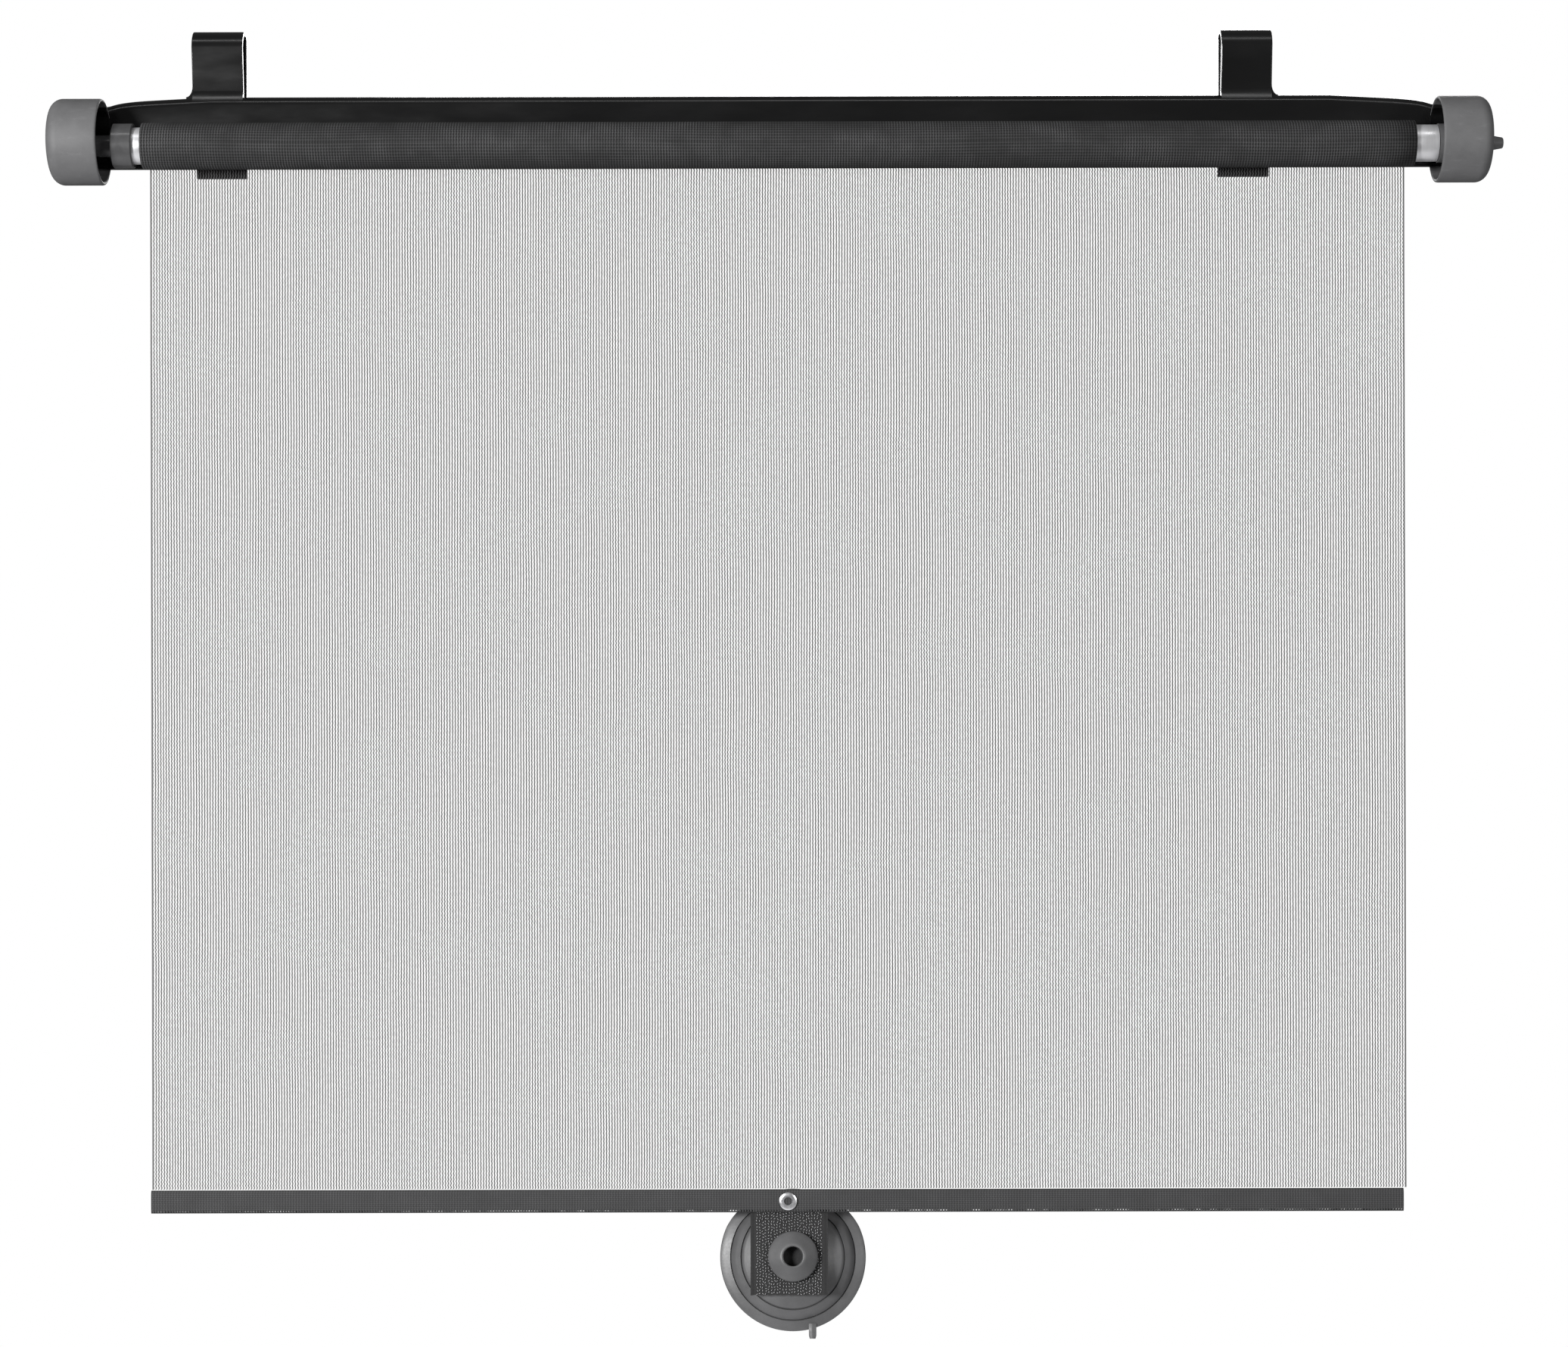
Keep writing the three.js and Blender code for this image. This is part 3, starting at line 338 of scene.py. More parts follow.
def wound_knit():
    r = Recipe("wound_knit")
    wale, axes = knit_lines(r, zigzag=0.12)
    above = r.math("ADD", axes.outputs["Z"], -AXIS_Z * MM)
    behind = r.math("ADD", axes.outputs["Y"], -AXIS_Y * MM)
    around = r.math("ARCTAN2", above, behind)
    warp = r.noise(25, 3, 0.5, (0.35, 1, 1))
    rows = r.math("MULTIPLY_ADD", warp, 2.2, r.math("MULTIPLY", around, ROLL_R / ROLL_ROW))
    row = r.math("ABSOLUTE", r.math("SUBTRACT", r.math("FRACT", rows), 0.5))
    upright = r.between(wale, 0.12, 0.3, 1.0, 0.0)
    level = r.between(row, 0.08, 0.3, 1.0, 0.0)
    clear = r.between(r.noise(60, 3, 0.5, (0.5, 1, 1)), 0.35, 0.6, 0.35, 1.0)
    ridges = r.math("MULTIPLY", upright, clear)
    height = r.math("MULTIPLY_ADD", ridges, 0.75, r.math("MULTIPLY", level, 0.3))
    patch = r.between(r.noise(140, 4, 0.6), 0.3, 0.7, 0.6, 1.1)
    # Painted light and shade: the colour follows the relief, so raised wales and rows are lighter and
    # the gaps between them darker; the patch noise adds random tone.
    colour = r.tint(r.math("MULTIPLY", height, patch), grey(0.01), grey(0.085))
    normal = r.bump(height, 0.6, 0.0002)
    return r.done(r.surface(Base_Color=colour, Roughness=0.8, Specular_IOR_Level=0.3, Normal=normal))


def hem_knit():
    r = Recipe("hem_knit")
    wale, axes = knit_lines(r, zigzag=0.2)
    upright = r.between(wale, 0.1, 0.3, 1.0, 0.0)
    rows = r.math("DIVIDE", axes.outputs["Z"], HEM_ROW)
    row = r.math("ABSOLUTE", r.math("SUBTRACT", r.math("FRACT", rows), 0.5))
    level = r.between(row, 0.1, 0.35, 1.0, 0.0)
    height = r.math("MULTIPLY_ADD", upright, 0.5, r.math("MULTIPLY", level, 0.5))
    patch = r.between(r.noise(110, 4, 0.6), 0.3, 0.7, 0.7, 1.1)
    # Painted light and shade: the colour follows the relief, so raised wales and rows are lighter and
    # the gaps between them darker; the patch noise adds random tone.
    colour = r.tint(r.math("MULTIPLY", height, patch), grey(0.03), grey(0.085))
    normal = r.bump(height, 0.6, 0.0002)
    cloth = r.surface(Base_Color=colour, Roughness=0.8, Specular_IOR_Level=0.3, Normal=normal)
    away = r.math("ABSOLUTE", r.math("ADD", axes.outputs["Z"], -PICOT_Z))
    line = r.between(away, 0.3 * MM, 0.45 * MM, 1.0, 0.0)
    picot = r.math("MULTIPLY", line, r.between(wale, 0.24, 0.32))
    picot = r.math("MULTIPLY", picot, r.between(r.noise(240, 2), 0.4, 0.6, 0.2, 1.0))
    return r.done(r.node("MixShader", i0=picot, i1=cloth, i2=r.node("BsdfTransparent")))


def yarn(name, dark, light, rough=0.8):
    r = Recipe(name)
    twist = r.noise(1800, 3, 0.6)
    normal = r.bump(twist, 0.5, 0.0001)
    colour = r.tint(twist, grey(dark), grey(light))
    return r.done(r.surface(Base_Color=colour, Roughness=rough, Normal=normal))


OPEN_KNIT = open_knit()
WOUND_KNIT = wound_knit()
HEM_KNIT = hem_knit()
TAPE_YARN = yarn("tape_yarn", 0.01, 0.025)
PILE_YARN = yarn("pile_yarn", 0.2, 0.75, 0.4)
print("wales are", round(WALE / MM, 3), "mm apart and courses", round(COURSE / MM, 2), "mm")

# %% [markdown]
# ## Soft vinyl
#
# The cup is pressed from soft vinyl. It is nearly black, with broad smears of light painted into its
# colour as a painted sheen, and dust and finger marks make the gloss uneven.

# %% Vinyl
def vinyl():
    r = Recipe("cup_vinyl")
    smear = r.noise(70, 5, 0.65)
    dust = r.noise(900, 4, 0.7)
    # Painted sheen: the broad smear noise lightens the colour in streaks that stand in for reflected
    # light.
    colour = r.tint(smear, grey(0.06), grey(0.14))
    marks = r.math("MULTIPLY_ADD", dust, 0.4, r.math("MULTIPLY", smear, 0.6))
    rough = r.between(marks, 0.3, 0.7, 0.36, 0.52)
    normal = r.bump(dust, 0.15, 0.0001, r.bump(smear, 0.3, 0.0006))
    return r.done(r.surface(Base_Color=colour, Roughness=rough, Specular_IOR_Level=0.55, Normal=normal))


CUP_VINYL = vinyl()
print("vinyl:", CUP_VINYL.name)

# %% [markdown]
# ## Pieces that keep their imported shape
#
# Rigid pieces are already right in shape. They only need their material and smooth shading
# across the small facets of round faces.

# %% Dress the rigid pieces
KEPT = {
    "release_button": CAP_GRAIN,
    "idle_plug": COLLAR_BLACK,
    "drive_plug": INNER_PLASTIC,
    "ratchet_ring": INNER_PLASTIC,
    "ratchet_clutch": INNER_PLASTIC,
    "spring_anchor": INNER_PLASTIC,
    "hem_bar": INNER_PLASTIC,
    "roller_tube": BRIGHT_TUBE,
    "spring_rod": SPRING_STEEL,
    "torsion_spring": SPRING_STEEL,
    "clutch_spring": SPRING_STEEL,
    "eyelet": EYELET_STEEL,
    "eyelet_washer": EYELET_STEEL,
}
for name, material in KEPT.items():
    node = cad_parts[name]
    node.data.materials.clear()
    node.data.materials.append(material)
    smooth_by_angle(node, 32, weld=True)
print("dressed", len(KEPT), "packed pieces")

# %% [markdown]
# ## The rail
#
# The rail is one long moulding. Its top is rounded at the front and lies flat on the glass at the
# back. Towards each cap it dips a little, more steeply in the last few millimetres, and slips
# into the cap's mouth. Lengths in this cell are in millimetres about the roller's axis.

# %% Draw the rail
RAIL_TOP, RAIL_BOTTOM, RAIL_FRONT, RAIL_BACK = 21.5, -7.6, 11.3, 17.2
NOSE, WALL, MOUTH = 3.6, 1.6, 262.0
NECK_START, NECK_REACH = 222, 40


def on_axis(x, y, z):
    return AXIS + Vector((x, y, z)) * MM


def bow(cy, cz, radius, start, stop, steps):
    angles = [math.radians(start + (stop - start) * i / steps) for i in range(steps + 1)]
    return [(cy + radius * math.cos(a), cz + radius * math.sin(a)) for a in angles]


def rail_section(top, rear):
    nose_y = RAIL_FRONT + NOSE
    return [*bow(RAIL_FRONT + WALL / 2, RAIL_BOTTOM + WALL / 2, WALL / 2, 0, -180, 8),
            *bow(nose_y, top - NOSE, NOSE, 180, 90, 14),
            *bow(RAIL_BACK - 0.8, top - 0.8, 0.8, 90, 0, 4),
            (RAIL_BACK, top - rear), (RAIL_BACK - WALL, top - rear), (RAIL_BACK - WALL, top - WALL),
            *bow(nose_y, top - NOSE, NOSE - WALL, 90, 180, 8)]


def neck_drop(x):
    t = max(0.0, (abs(x) - NECK_START) / NECK_REACH)
    return 2.0 * t + 1.5 * t ** 8


def loft(sections):
    """Joins like outlines at rising X and closes both ends."""
    points = [on_axis(x, y, z) for x, outline in sections for y, z in outline]
    around = len(sections[0][1])
    faces = grid_faces(len(sections), around, wrap=True)
    last = (len(sections) - 1) * around
    return points, faces + [tuple(range(around)), tuple(last + k for k in reversed(range(around)))]


def long_rail():
    reach = [NECK_START + (MOUTH - NECK_START) * i / 26 for i in range(27)]
    along = [-x for x in reversed(reach)] + [-220 + 20 * i for i in range(23)] + reach
    return loft([(x, rail_section(RAIL_TOP - neck_drop(x), 16 - 3 * neck_drop(x))) for x in along])


def rail_piece(name, shape, stands_for=()):
    return piece(name, *shape, "carrier", GLOSS_BLACK, stands_for, "gloss_black")


rail_piece("rail_gloss", long_rail(), ["carrier_rail"])

# %% [markdown]
# Where the rail meets a cap, its top laps a little way behind the cap and its front wall runs on
# inside. Both hide the joint when the shade is looked at from the front.

# %% Run the rail into the caps
LAP_FALL, LAP_FLOOR = 0.12, 15.0
CAP_LIFT = 1.5
TONGUE_OUTER, TONGUE_INNER, TONGUE_START, TONGUE_END = 15.2, 13.7, 261.5, 272


def lap_section(x):
    top = RAIL_TOP - neck_drop(MOUTH) - LAP_FALL * (x - MOUTH)
    return [(RAIL_FRONT, LAP_FLOOR), *bow(RAIL_FRONT + NOSE, top - NOSE, NOSE, 180, 90, 14),
            (RAIL_BACK, top), (RAIL_BACK, LAP_FLOOR)]


def lap_sections(side):
    return [(side * x, lap_section(x)) for x in [MOUTH + i * 0.5 for i in range(7)]]


for word, side in (("left", -1), ("right", 1)):
    rail_piece("rail_lap_" + word, loft(lap_sections(side)))
    curve = [*bow(0, CAP_LIFT, TONGUE_OUTER, -34, 72, 24), *bow(0, CAP_LIFT, TONGUE_INNER, 72, -34, 24)]
    rail_piece("rail_tongue_" + word, loft([(side * TONGUE_START, curve), (side * TONGUE_END, curve)]))

# %% [markdown]
# ## The hooks
#
# Each hook is a strap of plastic bent over the glass. Its front leg leans away from the pane and
# grows out of the rail through a fillet in front and a small flare at its outer side.

# %% Bend the hooks
HOOKS, HOOK_HALF, HOOK_WALL, HOOK_TOP = (-219.0, 189.0), 10.1, 1.8, 48.0
HOOK_ROOT, HOOK_FRONT, HOOK_REAR = 15.1, 10.9, 23.5
BEND_FRONT, BEND_REAR = 6.2, 2.6
TAIL_START, TAIL_END, TAIL_KICK = -2.6, -9.6, 0.7
FLARE_SINK = 0.8


def hook_sides(offset):
    half = HOOK_WALL / 2
    front, rear, line = HOOK_FRONT + half, HOOK_REAR - half, HOOK_TOP - half
    return [(HOOK_ROOT - offset, RAIL_TOP - NOSE),
            *bow(front + BEND_FRONT, line - BEND_FRONT, BEND_FRONT + offset, 180, 90, 22),
            *bow(rear - BEND_REAR, line - BEND_REAR, BEND_REAR + offset, 90, 0, 8),
            (rear + offset, TAIL_START), (rear + TAIL_KICK + offset, TAIL_END)]


def fillet_section():
    nose = bow(RAIL_FRONT + NOSE, RAIL_TOP - NOSE, NOSE, 158, 158, 1)[0]
    leg = (13.55, RAIL_TOP + 3.3)
    low, high = Vector(nose), Vector(leg)
    deep = (low + high) / 2 + Vector((0.42, -0.2))
    steps = [i / 10 for i in range(11)]
    face = [low * (1 - t) ** 2 + deep * 2 * t * (1 - t) + high * t ** 2 for t in steps]
    inside = [(15.2, leg[1]), (15.2, RAIL_TOP - NOSE), (RAIL_FRONT + 1.0, RAIL_TOP - NOSE)]
    return [tuple(p) for p in face] + inside


def flare_points(x, side, wide=2.5, tall=4.2):
    edge = x + side * HOOK_HALF
    inside = edge - side * 0.6
    base = RAIL_TOP - FLARE_SINK
    angles = [math.pi / 2 * i / 10 for i in range(11)]
    sweep = [(edge + side * wide * (1 - math.cos(a)), base + FLARE_SINK + tall * (1 - math.sin(a)))
             for a in angles]
    outline = sweep + [(edge + side * wide, base), (inside, base), (inside, base + FLARE_SINK + tall)]
    points = [on_axis(px, y, pz) for y in (13.4, 16.0) for px, pz in outline]
    n = len(outline)
    ends = [tuple(range(n)), tuple(n + k for k in reversed(range(n)))]
    return points, grid_faces(2, n, wrap=True) + ends


for word, x in zip(("left", "right"), HOOKS):
    strip = [*hook_sides(HOOK_WALL / 2), *reversed(hook_sides(-HOOK_WALL / 2))]
    hook = rail_piece("hook_" + word, loft([(x - HOOK_HALF, strip), (x + HOOK_HALF, strip)]))
    soft = hook.modifiers.new("soft edges", "BEVEL")
    soft.width, soft.segments = 0.35 * MM, 3
    soft.limit_method, soft.angle_limit = "ANGLE", math.radians(50)
    root = fillet_section()
    rail_piece("hook_fillet_" + word, loft([(x - HOOK_HALF + 0.1, root), (x + HOOK_HALF - 0.1, root)]))
    rail_piece("hook_flare_" + word, flare_points(x, math.copysign(1, x)))

# %% [markdown]
# ## The end caps
#
# A cap is turned from one profile: a domed end, a rounded corner, a thin wall with a soft rim and
# the boss inside that carries the rod at the left, or the ratchet and the button at the right.

# %% Turn the caps
CAP_MOUTH, CAP_R, CAP_BORE, CAP_DEEP, CAP_FLOOR = 261.6, 16.85, 15.5, 21.4, 19.0
POINT = 0.02


def cap_profile(boss):
    corner = bow(CAP_DEEP - 1.2 - 5, CAP_R - 5, 5, 90, 14, 16)
    edge = corner[-1]
    rings = [edge[1] * (1 - i / 12) for i in range(1, 12)]
    dome = [(CAP_DEEP - (CAP_DEEP - edge[0]) * (r / edge[1]) ** 2, r) for r in rings]
    inside = bow(CAP_FLOOR - 3.6, CAP_BORE - 3.6, 3.6, 0, 90, 8)
    rim = bow(0.62, CAP_BORE + 0.66, 0.62, 262, 98, 8)
    return [*boss, *inside, *rim, (1.0, CAP_R), (8, CAP_R), *corner, *dome]


def turn_cap(side, boss, hole, around=112):
    end = [(CAP_DEEP - 0.05, hole)] if hole > POINT else [(CAP_DEEP, POINT)]
    line = [(u, r) for u, r in cap_profile(boss) if r >= hole] + end
    points = []
    for u, r in line:
        for k in range(around):
            a = 2 * math.pi * k / around
            points.append(on_axis(side * (CAP_MOUTH + u), r * math.cos(a), CAP_LIFT + r * math.sin(a)))
    faces = grid_faces(len(line), around, wrap=True)
    last = (len(line) - 1) * around
    if hole > POINT:
        faces += [(last + k, last + (k + 1) % around, (k + 1) % around, k) for k in range(around)]
    else:
        faces += [tuple(range(around)), tuple(last + k for k in reversed(range(around)))]
    return points, faces


LEFT_BOSS = [(CAP_FLOOR, POINT), (CAP_FLOOR, 2.3), (7.4, 2.3), (7.4, 5.5), (CAP_FLOOR, 5.5)]
RIGHT_BOSS = [(CAP_FLOOR, 3.2), (CAP_FLOOR, 5.0), (12.8, 5.0), (12.8, 6.6), (CAP_FLOOR, 6.6)]
piece("cap_left", *turn_cap(-1, LEFT_BOSS, POINT), "carrier", CAP_GRAIN, ["end_cap_left"], "cap_grey")
piece("cap_right", *turn_cap(1, RIGHT_BOSS, 3.2), "carrier", CAP_GRAIN, ["end_cap_right"], "cap_grey")

# %% [markdown]
# ## The sheet
#
# The sheet hangs from the back of the roll to the hem. It is one thin surface with the faintest
# ripples, because a knit pulled straight by a light bar never hangs quite flat.

# %% Hang the sheet
low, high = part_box("shade_sheet")
SHEET_Y = (low.y + high.y) / 2


def hang_sheet(columns=125, rows=104):
    points = []
    for i in range(rows):
        z = high.z + (low.z - high.z) * i / (rows - 1)
        for j in range(columns):
            x = low.x + (high.x - low.x) * j / (columns - 1)
            ease = math.sin(math.pi * i / (rows - 1)) ** 0.5 if 0 < i < rows - 1 else 0
            ripple = noise.noise(Vector((x * 16, z * 3, 0))) * 0.16 * MM * ease
            points.append((x, SHEET_Y + ripple, z))
    return points, grid_faces(rows, columns)


sheet = piece("sheet_knit", *hang_sheet(), "carrier", OPEN_KNIT, ["shade_sheet"], "grey_mesh")
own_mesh(sheet)

# %% [markdown]
# ## The roll
#
# Wound cloth is a spiral, not a stack of rings. One long strip runs round five times, each turn
# a hair further out, and its edges wander, because no one winds a blind perfectly straight.

# %% Wind the roll
TUBE_R = 7.5 * MM


def wind_roll(turns=5, steps=72, stations=40):
    low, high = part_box("fabric_roll")
    outer = (high.z - low.z) / 2
    inner = TUBE_R
    points = []
    count = turns * steps + 1
    for i in range(count):
        turn = i / steps
        angle = 2 * math.pi * turn
        radius = inner + (outer - inner) * (turn / turns)
        left = low.x + 0.15 * MM * (1 + noise.noise(Vector((turn * 0.9, 2, 0))))
        right = high.x - 0.15 * MM * (1 + noise.noise(Vector((turn * 0.7, 7, 0))))
        for j in range(stations):
            x = left + (right - left) * j / (stations - 1)
            sink = 0.06 * MM * (1 + noise.noise(Vector((x * 30, angle, turn))))
            y = AXIS.y + (radius - sink) * math.cos(angle)
            z = AXIS.z + (radius - sink) * math.sin(angle)
            points.append((x, y, z))
    return points, grid_faces(count, stations)


roll = piece("roll_knit", *wind_roll(), "roller", WOUND_KNIT, ["fabric_roll"], "black_mesh")
roll.modifiers.new("thickness", "SOLIDIFY").thickness = 0.25 * MM

# %% [markdown]
# ## The hem
#
# The sheet's end is folded round the bar and stitched. The fold is a flattened loop that is a
# little fuller between the stitches.

# %% Fold the hem
HEM_LEFT, HEM_LONG, HEM_WALL = -245.6, 495.2, 0.4 * MM
SQUARENESS = 0.55


def fold_hem(stations=250, around=28):
    low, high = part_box("hem_pocket")
    mid_y, mid_z = (low.y + high.y) / 2, (low.z + high.z) / 2
    deep, tall = (high.y - low.y) / 2, (high.z - low.z) / 2
    points = []
    for layer in (0, HEM_WALL):
        for i in range(stations):
            x = (HEM_LEFT + HEM_LONG * i / (stations - 1)) * MM
            drift = noise.noise(Vector((x * 40, layer * 999, 0)))
            puff = 1 - 0.03 * (1 + math.sin(x / (3.2 * MM))) - 0.03 * (1 + drift)
            for k in range(around):
                a = 2 * math.pi * k / around
                cy = math.copysign(abs(math.cos(a)) ** SQUARENESS, math.cos(a))
                cz = math.copysign(abs(math.sin(a)) ** SQUARENESS, math.sin(a))
                points.append((x, mid_y + (deep - layer) * cy * puff, mid_z + (tall - layer) * cz))
    size = stations * around
    faces = grid_faces(stations, around, wrap=True)
    faces += [tuple(v + size for v in reversed(f)) for f in faces]
    for end in (0, (stations - 1) * around):
        for k in range(around):
            d = (k + 1) % around
            faces.append((end + k, end + d, size + end + d, size + end + k))
    return points, faces


hem = piece("hem_knit", *fold_hem(), "hem", HEM_KNIT, ["hem_pocket"], "black_mesh", degrees=60)

# %% [markdown]
# ## The strap
#
# The strap is pile tape. The woven ground is a thin strip, and the pile is row after row of tiny
# loops. Loops that stand up one by one catch the light as the real pile does.

# %% Weave the strap
TILT = math.radians(11)
low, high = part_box("hook_strap")
STRAP_Y = (11.875 + AXIS_Y) * MM
BEND_TOP = (-421.4 + AXIS_Z) * MM
BEND_R = 12 * MM
STRAP_LONG = 39.8 * MM
PILE_EDGE, PILE_END, HOLE_R, HOLE_Z = 2.6 * MM, 39.2 * MM, 5.6 * MM, -484.4 * MM


def strap_line(distance):
    """A point in the middle of the strap, so far below its top, and the way to the front."""
    straight = high.z - BEND_TOP
    if distance < straight:
        return Vector((0, STRAP_Y, high.z - distance)), Vector((0, -1, 0))
    turn = min((distance - straight) / BEND_R, TILT)
    y = STRAP_Y - BEND_R * (1 - math.cos(turn))
    z = BEND_TOP - BEND_R * math.sin(turn)
    rest = max(0, distance - straight - BEND_R * TILT)
    down = Vector((0, -math.sin(turn), -math.cos(turn)))
    return Vector((0, y, z)) + down * rest, Vector((0, -math.cos(turn), math.sin(turn)))


def two_sided(rows, columns):
    """The faces of a thin strip: front, back and the rim between them."""
    size = rows * columns
    faces = grid_faces(rows, columns)
    faces += [tuple(v + size for v in reversed(f)) for f in faces]
    rim = [*range(columns), *[i * columns + columns - 1 for i in range(1, rows)]]
    rim += [(rows - 1) * columns + j for j in range(columns - 2, -1, -1)]
    rim += [i * columns for i in range(rows - 2, 0, -1)]
    for a, b in zip(rim, rim[1:] + rim[:1]):
        faces.append((a, b, b + size, a + size))
    return faces


def weave_strap(columns=62, rows=80, half=0.42 * MM):
    points = []
    for side in (1, -1):
        for i in range(rows):
            for j in range(columns):
                x = low.x + (high.x - low.x) * j / (columns - 1)
                ragged = 0.35 * MM * noise.noise(Vector((x * 420, 3, 0))) if i == rows - 1 else 0
                centre, out = strap_line((STRAP_LONG - 0.4 * MM) * i / (rows - 1) + ragged)
                edge = min(x - low.x, high.x - x)
                rib = 0.1 * MM * math.sin(x / (0.35 * MM)) if edge < 2.4 * MM else 0
                p = centre + out * (side * half + rib * side)
                points.append((x, p.y, p.z))
    return points, two_sided(rows, columns)


strap = piece("strap_ground", *weave_strap(), "hem", TAPE_YARN, ["hook_strap"], "pile_tape")


def pile_loops(pitch=1.15 * MM, wire=0.11 * MM, sides=4, steps=6):
    points, faces = [], []
    cup_low, cup_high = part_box("suction_cup")
    cup_x = (cup_low.x + cup_high.x) / 2
    x = low.x + PILE_EDGE
    while x < high.x - PILE_EDGE:
        d = 0.5 * MM
        while d < PILE_END:
            centre, out = strap_line(d)
            away = math.hypot(x - cup_x, centre.z - HOLE_Z)
            if away > HOLE_R:
                down = out.cross(Vector((1, 0, 0)))
                lean = Vector((random.uniform(-1, 1), 0, 0)) + down * random.uniform(-1, 1)
                lean.normalize()
                tall = random.uniform(0.5, 0.85) * MM
                foot_x = x + random.uniform(-0.25, 0.25) * MM
                foot = Vector((foot_x, centre.y, centre.z)) + out * 0.38 * MM
                start = len(points)
                for s in range(steps + 1):
                    a = math.pi * s / steps
                    middle = foot + lean * (0.3 * MM * math.cos(a)) + out * (tall * math.sin(a))
                    flow = (lean * -math.sin(a) + out * math.cos(a)).normalized()
                    side = flow.cross(lean.cross(out)).normalized()
                    other = flow.cross(side)
                    for k in range(sides):
                        b = 2 * math.pi * k / sides
                        ring = side * (wire * math.cos(b)) + other * (wire * math.sin(b))
                        points.append(middle + ring)
                faces += grid_faces(steps + 1, sides, wrap=True, start=start)
            d += pitch * random.uniform(0.85, 1.15)
        x += pitch
    return points, faces


pile = piece("strap_pile", *pile_loops(), "hem", PILE_YARN, [], "pile_tape", degrees=180)

# %% [markdown]
# ## The suction cup
#
# The cup is turned from one profile, like clay on a wheel: a thin lip, two bands with a groove
# between them, a crown, a neck through the strap and a head with a blind hole. The whole cup
# leans back with its own weight.

# %% Turn the cup
NECK = Vector((8.1 * MM, (8.8305 + AXIS_Y) * MM, (-438.2178 + AXIS_Z) * MM))
NECK_U = 10.25
LIP_START, LIP_SQUEEZE = 12, 0.88
BAND_R, BAND_U, CROWN_R, CROWN_U = 20.1, 5.1, 7.5, 8.97
CUP_PLACE = Matrix.Translation(NECK) @ Matrix.Rotation(-TILT, 4, "X") @ Matrix.Scale(MM, 4)


def cup_profile():
    line = [(POINT, 3.75), (7, 3.55), (14, 2.85), (21, 1.65), (26, 0.55), (27.7, 0.05),
            (28.0, 0.0), (28.8, 0.0), (29.0, 0.25), (28.98, 0.8), (28.7, 1.02), (27, 1.5),
            (25.02, 2.15), (24.88, 1.9), (24.7, 1.5), (24.52, 1.9), (24.4, 2.5), (22.5, 3.75),
            (20.85, 4.85), (20.68, 4.5), (20.5, 4.15), (20.32, 4.55), (BAND_R, BAND_U)]
    for i in range(1, 15):
        t = i / 14
        rise = math.sin(t * math.pi / 2)
        line.append((BAND_R + (CROWN_R - BAND_R) * t, BAND_U + (CROWN_U - BAND_U) * rise))
    line += [(5.6, 9.0), (4.7, 9.05), (4.5, 9.3), (4.5, 11.2), (4.7, 11.45), (6, 11.6),
             (9.3, 12.0), (9.7, 12.2), (9.85, 12.6), (9.75, 13.05), (9.45, 13.35), (8.2, 14.25),
             (6.6, 15.35), (5.2, 16.35), (4.75, 16.6), (4.4, 16.68), (4.05, 16.6), (3.85, 16.3),
             (3.78, 14), (3.6, 9), (3.4, 8.5), (2.6, 8.4), (POINT, 8.4)]
    return line


def turn_cup(around=144):
    points = []
    line = cup_profile()
    for r, u in line:
        for k in range(around):
            a = 2 * math.pi * k / around
            up = r * math.sin(a)
            if up > LIP_START:
                up = LIP_START + (up - LIP_START) * LIP_SQUEEZE
            points.append(Vector((r * math.cos(a), NECK_U - u, up)))
    faces = grid_faces(len(line), around, wrap=True)
    faces.append(tuple(range(around)))
    faces.append(tuple((len(line) - 1) * around + k for k in reversed(range(around))))
    return [CUP_PLACE @ p for p in points], faces


piece("cup_vinyl", *turn_cup(), "cup", CUP_VINYL, ["suction_cup"], "cup_vinyl", degrees=50)


def pull_tab(columns=7, rows=12):
    points = []
    for side in (0, 1):
        for i in range(rows):
            t = i / (rows - 1)
            reach = 26.0 + 5.9 * t
            for j in range(columns):
                s = j / (columns - 1) * 2 - 1
                half = 1.5 * (1 - 0.25 * max(0, t - 0.8) * 5 * abs(s))
                fold = 0.55 * (1 - abs(s)) * (0.4 + 0.6 * t)
                u = 0.1 + 0.55 * side + fold + (1.0 if t < 0.45 else 1.0 - (t - 0.45) * 0.9) * side
                points.append(Vector((7.7 + half * s, NECK_U - u, -reach)))
    return [CUP_PLACE @ p for p in points], two_sided(rows, columns)


piece("cup_tab", *pull_tab(), "cup", CUP_VINYL, [], "cup_vinyl", degrees=40)

# %% [markdown]
# ## The cloth
#
# The sheet hangs from the roll, and the hem and the strap move with its lower end.

# %% Say which pieces are cloth
print("the sheet is", sheet.name, "and moves with", [p.name for p in (hem, strap, pile)])

# %% [markdown]
# ## Light and backdrop
#
# A studio shot on white: a strip of light above, softer ones at the sides and behind, and white
# all round.
# The floor is a pale disc well below the shade, and its edge fades into the white.

# %% Set the lights
def area(name, place, target, size, power):
    light = bpy.data.objects.new(name, bpy.data.lights.new(name, "AREA"))
    bpy.context.scene.collection.objects.link(light)
    light.data.shape = "RECTANGLE"
    light.data.size, light.data.size_y = size
    light.data.energy = power
    light.location = place
    light.rotation_euler = (Vector(target) - Vector(place)).to_track_quat("-Z", "Y").to_euler()


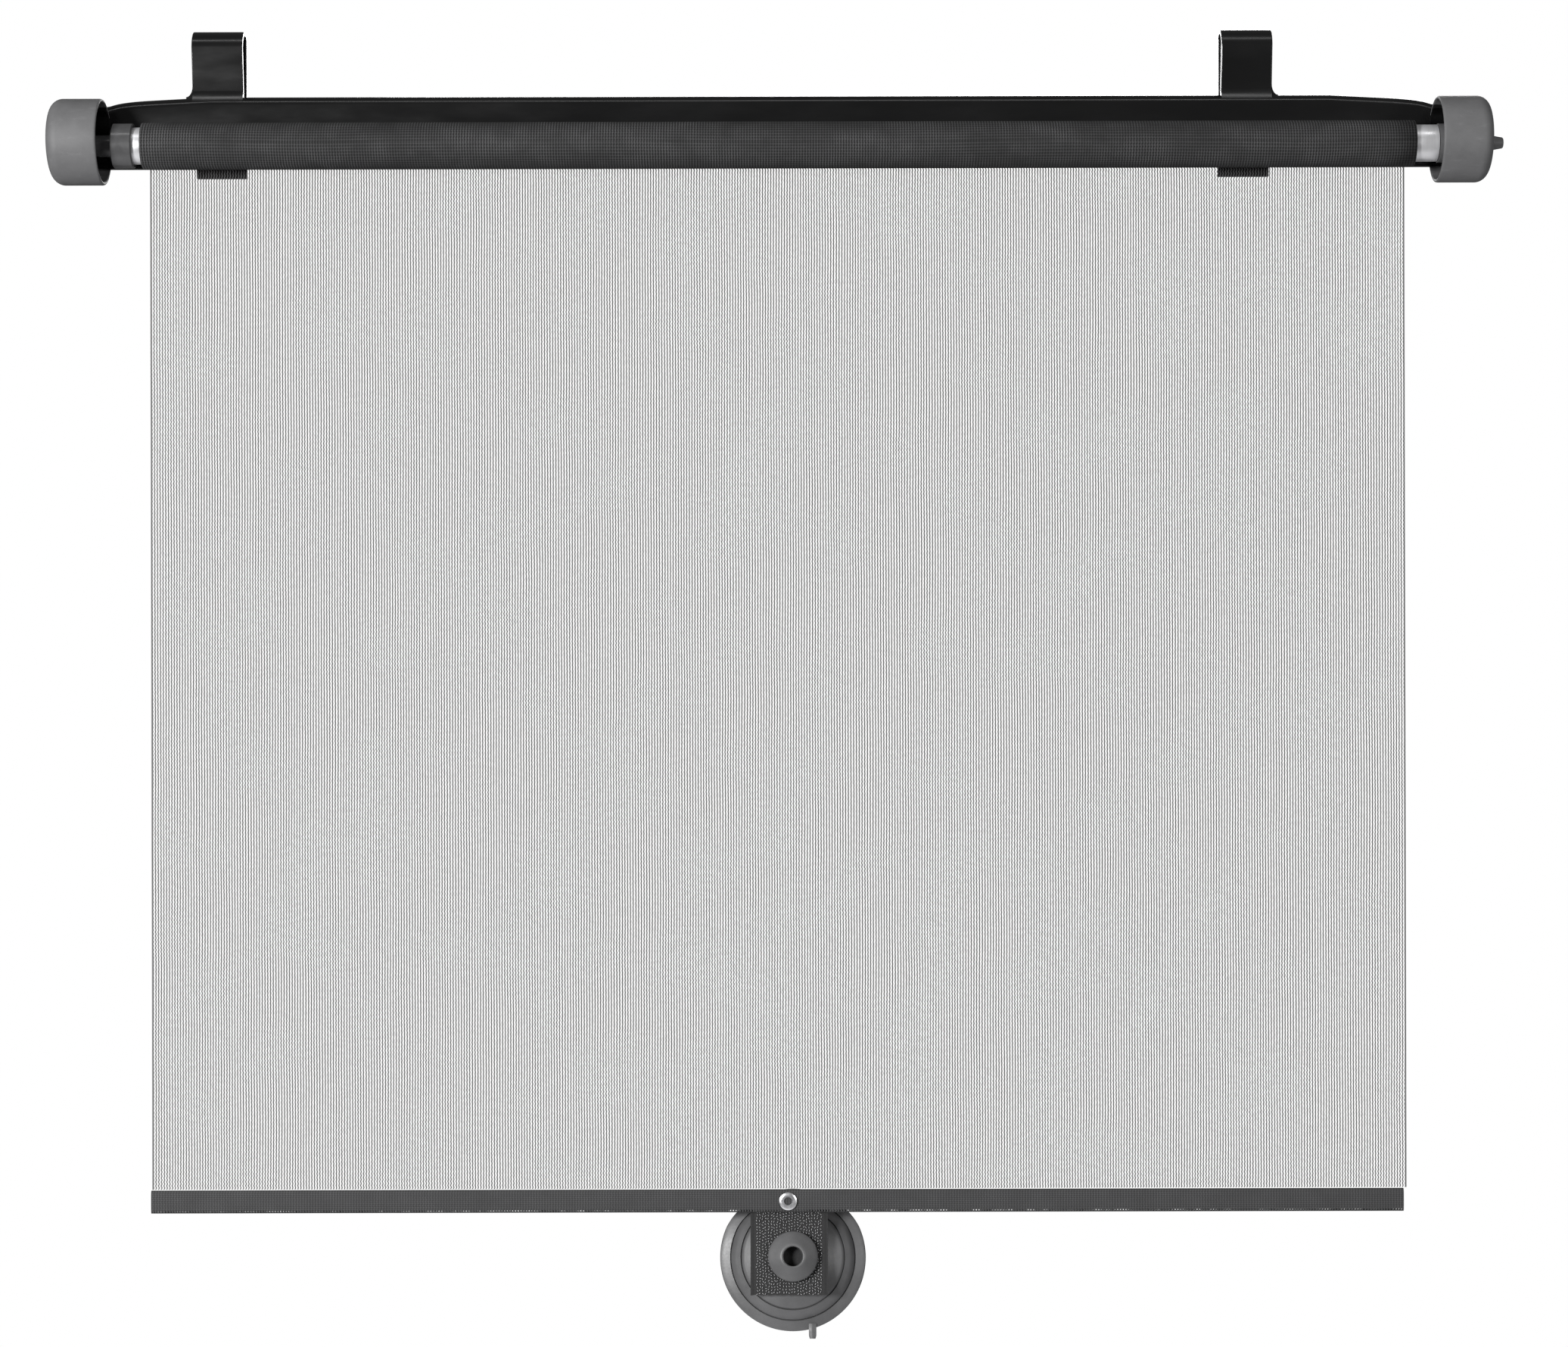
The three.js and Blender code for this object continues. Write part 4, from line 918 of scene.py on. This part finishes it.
area("top_light", (0, -0.9, 1.25), (0, 0, -0.1), (1.8, 0.14), 4.5)
area("left_light", (-1.2, -1.6, -0.05), (-0.1, 0, -0.15), (0.45, 0.45), 46)
area("right_light", (1.4, -1.5, -0.05), (0.1, 0, -0.2), (0.4, 0.6), 9.5)
area("back_light", (0.2, 2.0, 0.7), (0, 0, -0.2), (1.2, 0.8), 26)

world = bpy.data.worlds.new("white_room")
bpy.context.scene.world = world
world.use_nodes = True
tree = world.node_tree
tree.nodes.clear()
out = tree.nodes.new("ShaderNodeOutputWorld")
path = tree.nodes.new("ShaderNodeLightPath")
seen = tree.nodes.new("ShaderNodeMath")
seen.operation = "MAXIMUM"
tree.links.new(path.outputs["Is Camera Ray"], seen.inputs[0])
tree.links.new(path.outputs["Is Transmission Ray"], seen.inputs[1])
room = tree.nodes.new("ShaderNodeBackground")
room.inputs["Color"].default_value = (1, 1, 1, 1)
room.inputs["Strength"].default_value = 0.13
white = tree.nodes.new("ShaderNodeBackground")
white.inputs["Color"].default_value = (1, 1, 1, 1)
white.inputs["Strength"].default_value = 1.0
mix = tree.nodes.new("ShaderNodeMixShader")
tree.links.new(seen.outputs[0], mix.inputs[0])
tree.links.new(room.outputs[0], mix.inputs[1])
tree.links.new(white.outputs[0], mix.inputs[2])
tree.links.new(mix.outputs[0], out.inputs["Surface"])


def floor_material():
    r = Recipe("pale_floor")
    axes = r.node("SeparateXYZ", Vector=r.place).node
    square_x = r.math("POWER", axes.outputs["X"], 2.0)
    square_y = r.math("POWER", axes.outputs["Y"], 2.0)
    away = r.math("SQRT", r.math("ADD", square_x, square_y))
    fade = r.between(away, 0.5, 0.95, 0.0, 1.0)
    pale = r.surface(Base_Color=r.tint(r.noise(40, 3), grey(0.86), grey(0.9)), Roughness=0.7)
    return r.done(r.node("MixShader", i0=fade, i1=pale, i2=r.node("BsdfTransparent")))


floor_mesh = bpy.data.meshes.new("floor")
disc = bmesh.new()
bmesh.ops.create_circle(disc, cap_ends=True, segments=96, radius=1.0)
disc.to_mesh(floor_mesh)
disc.free()
floor = bpy.data.objects.new("floor", floor_mesh)
bpy.context.scene.collection.objects.link(floor)
floor.location = (0, 0, -1.0)
floor_mesh.materials.append(floor_material())
bpy.context.scene.view_settings.view_transform = "Standard"
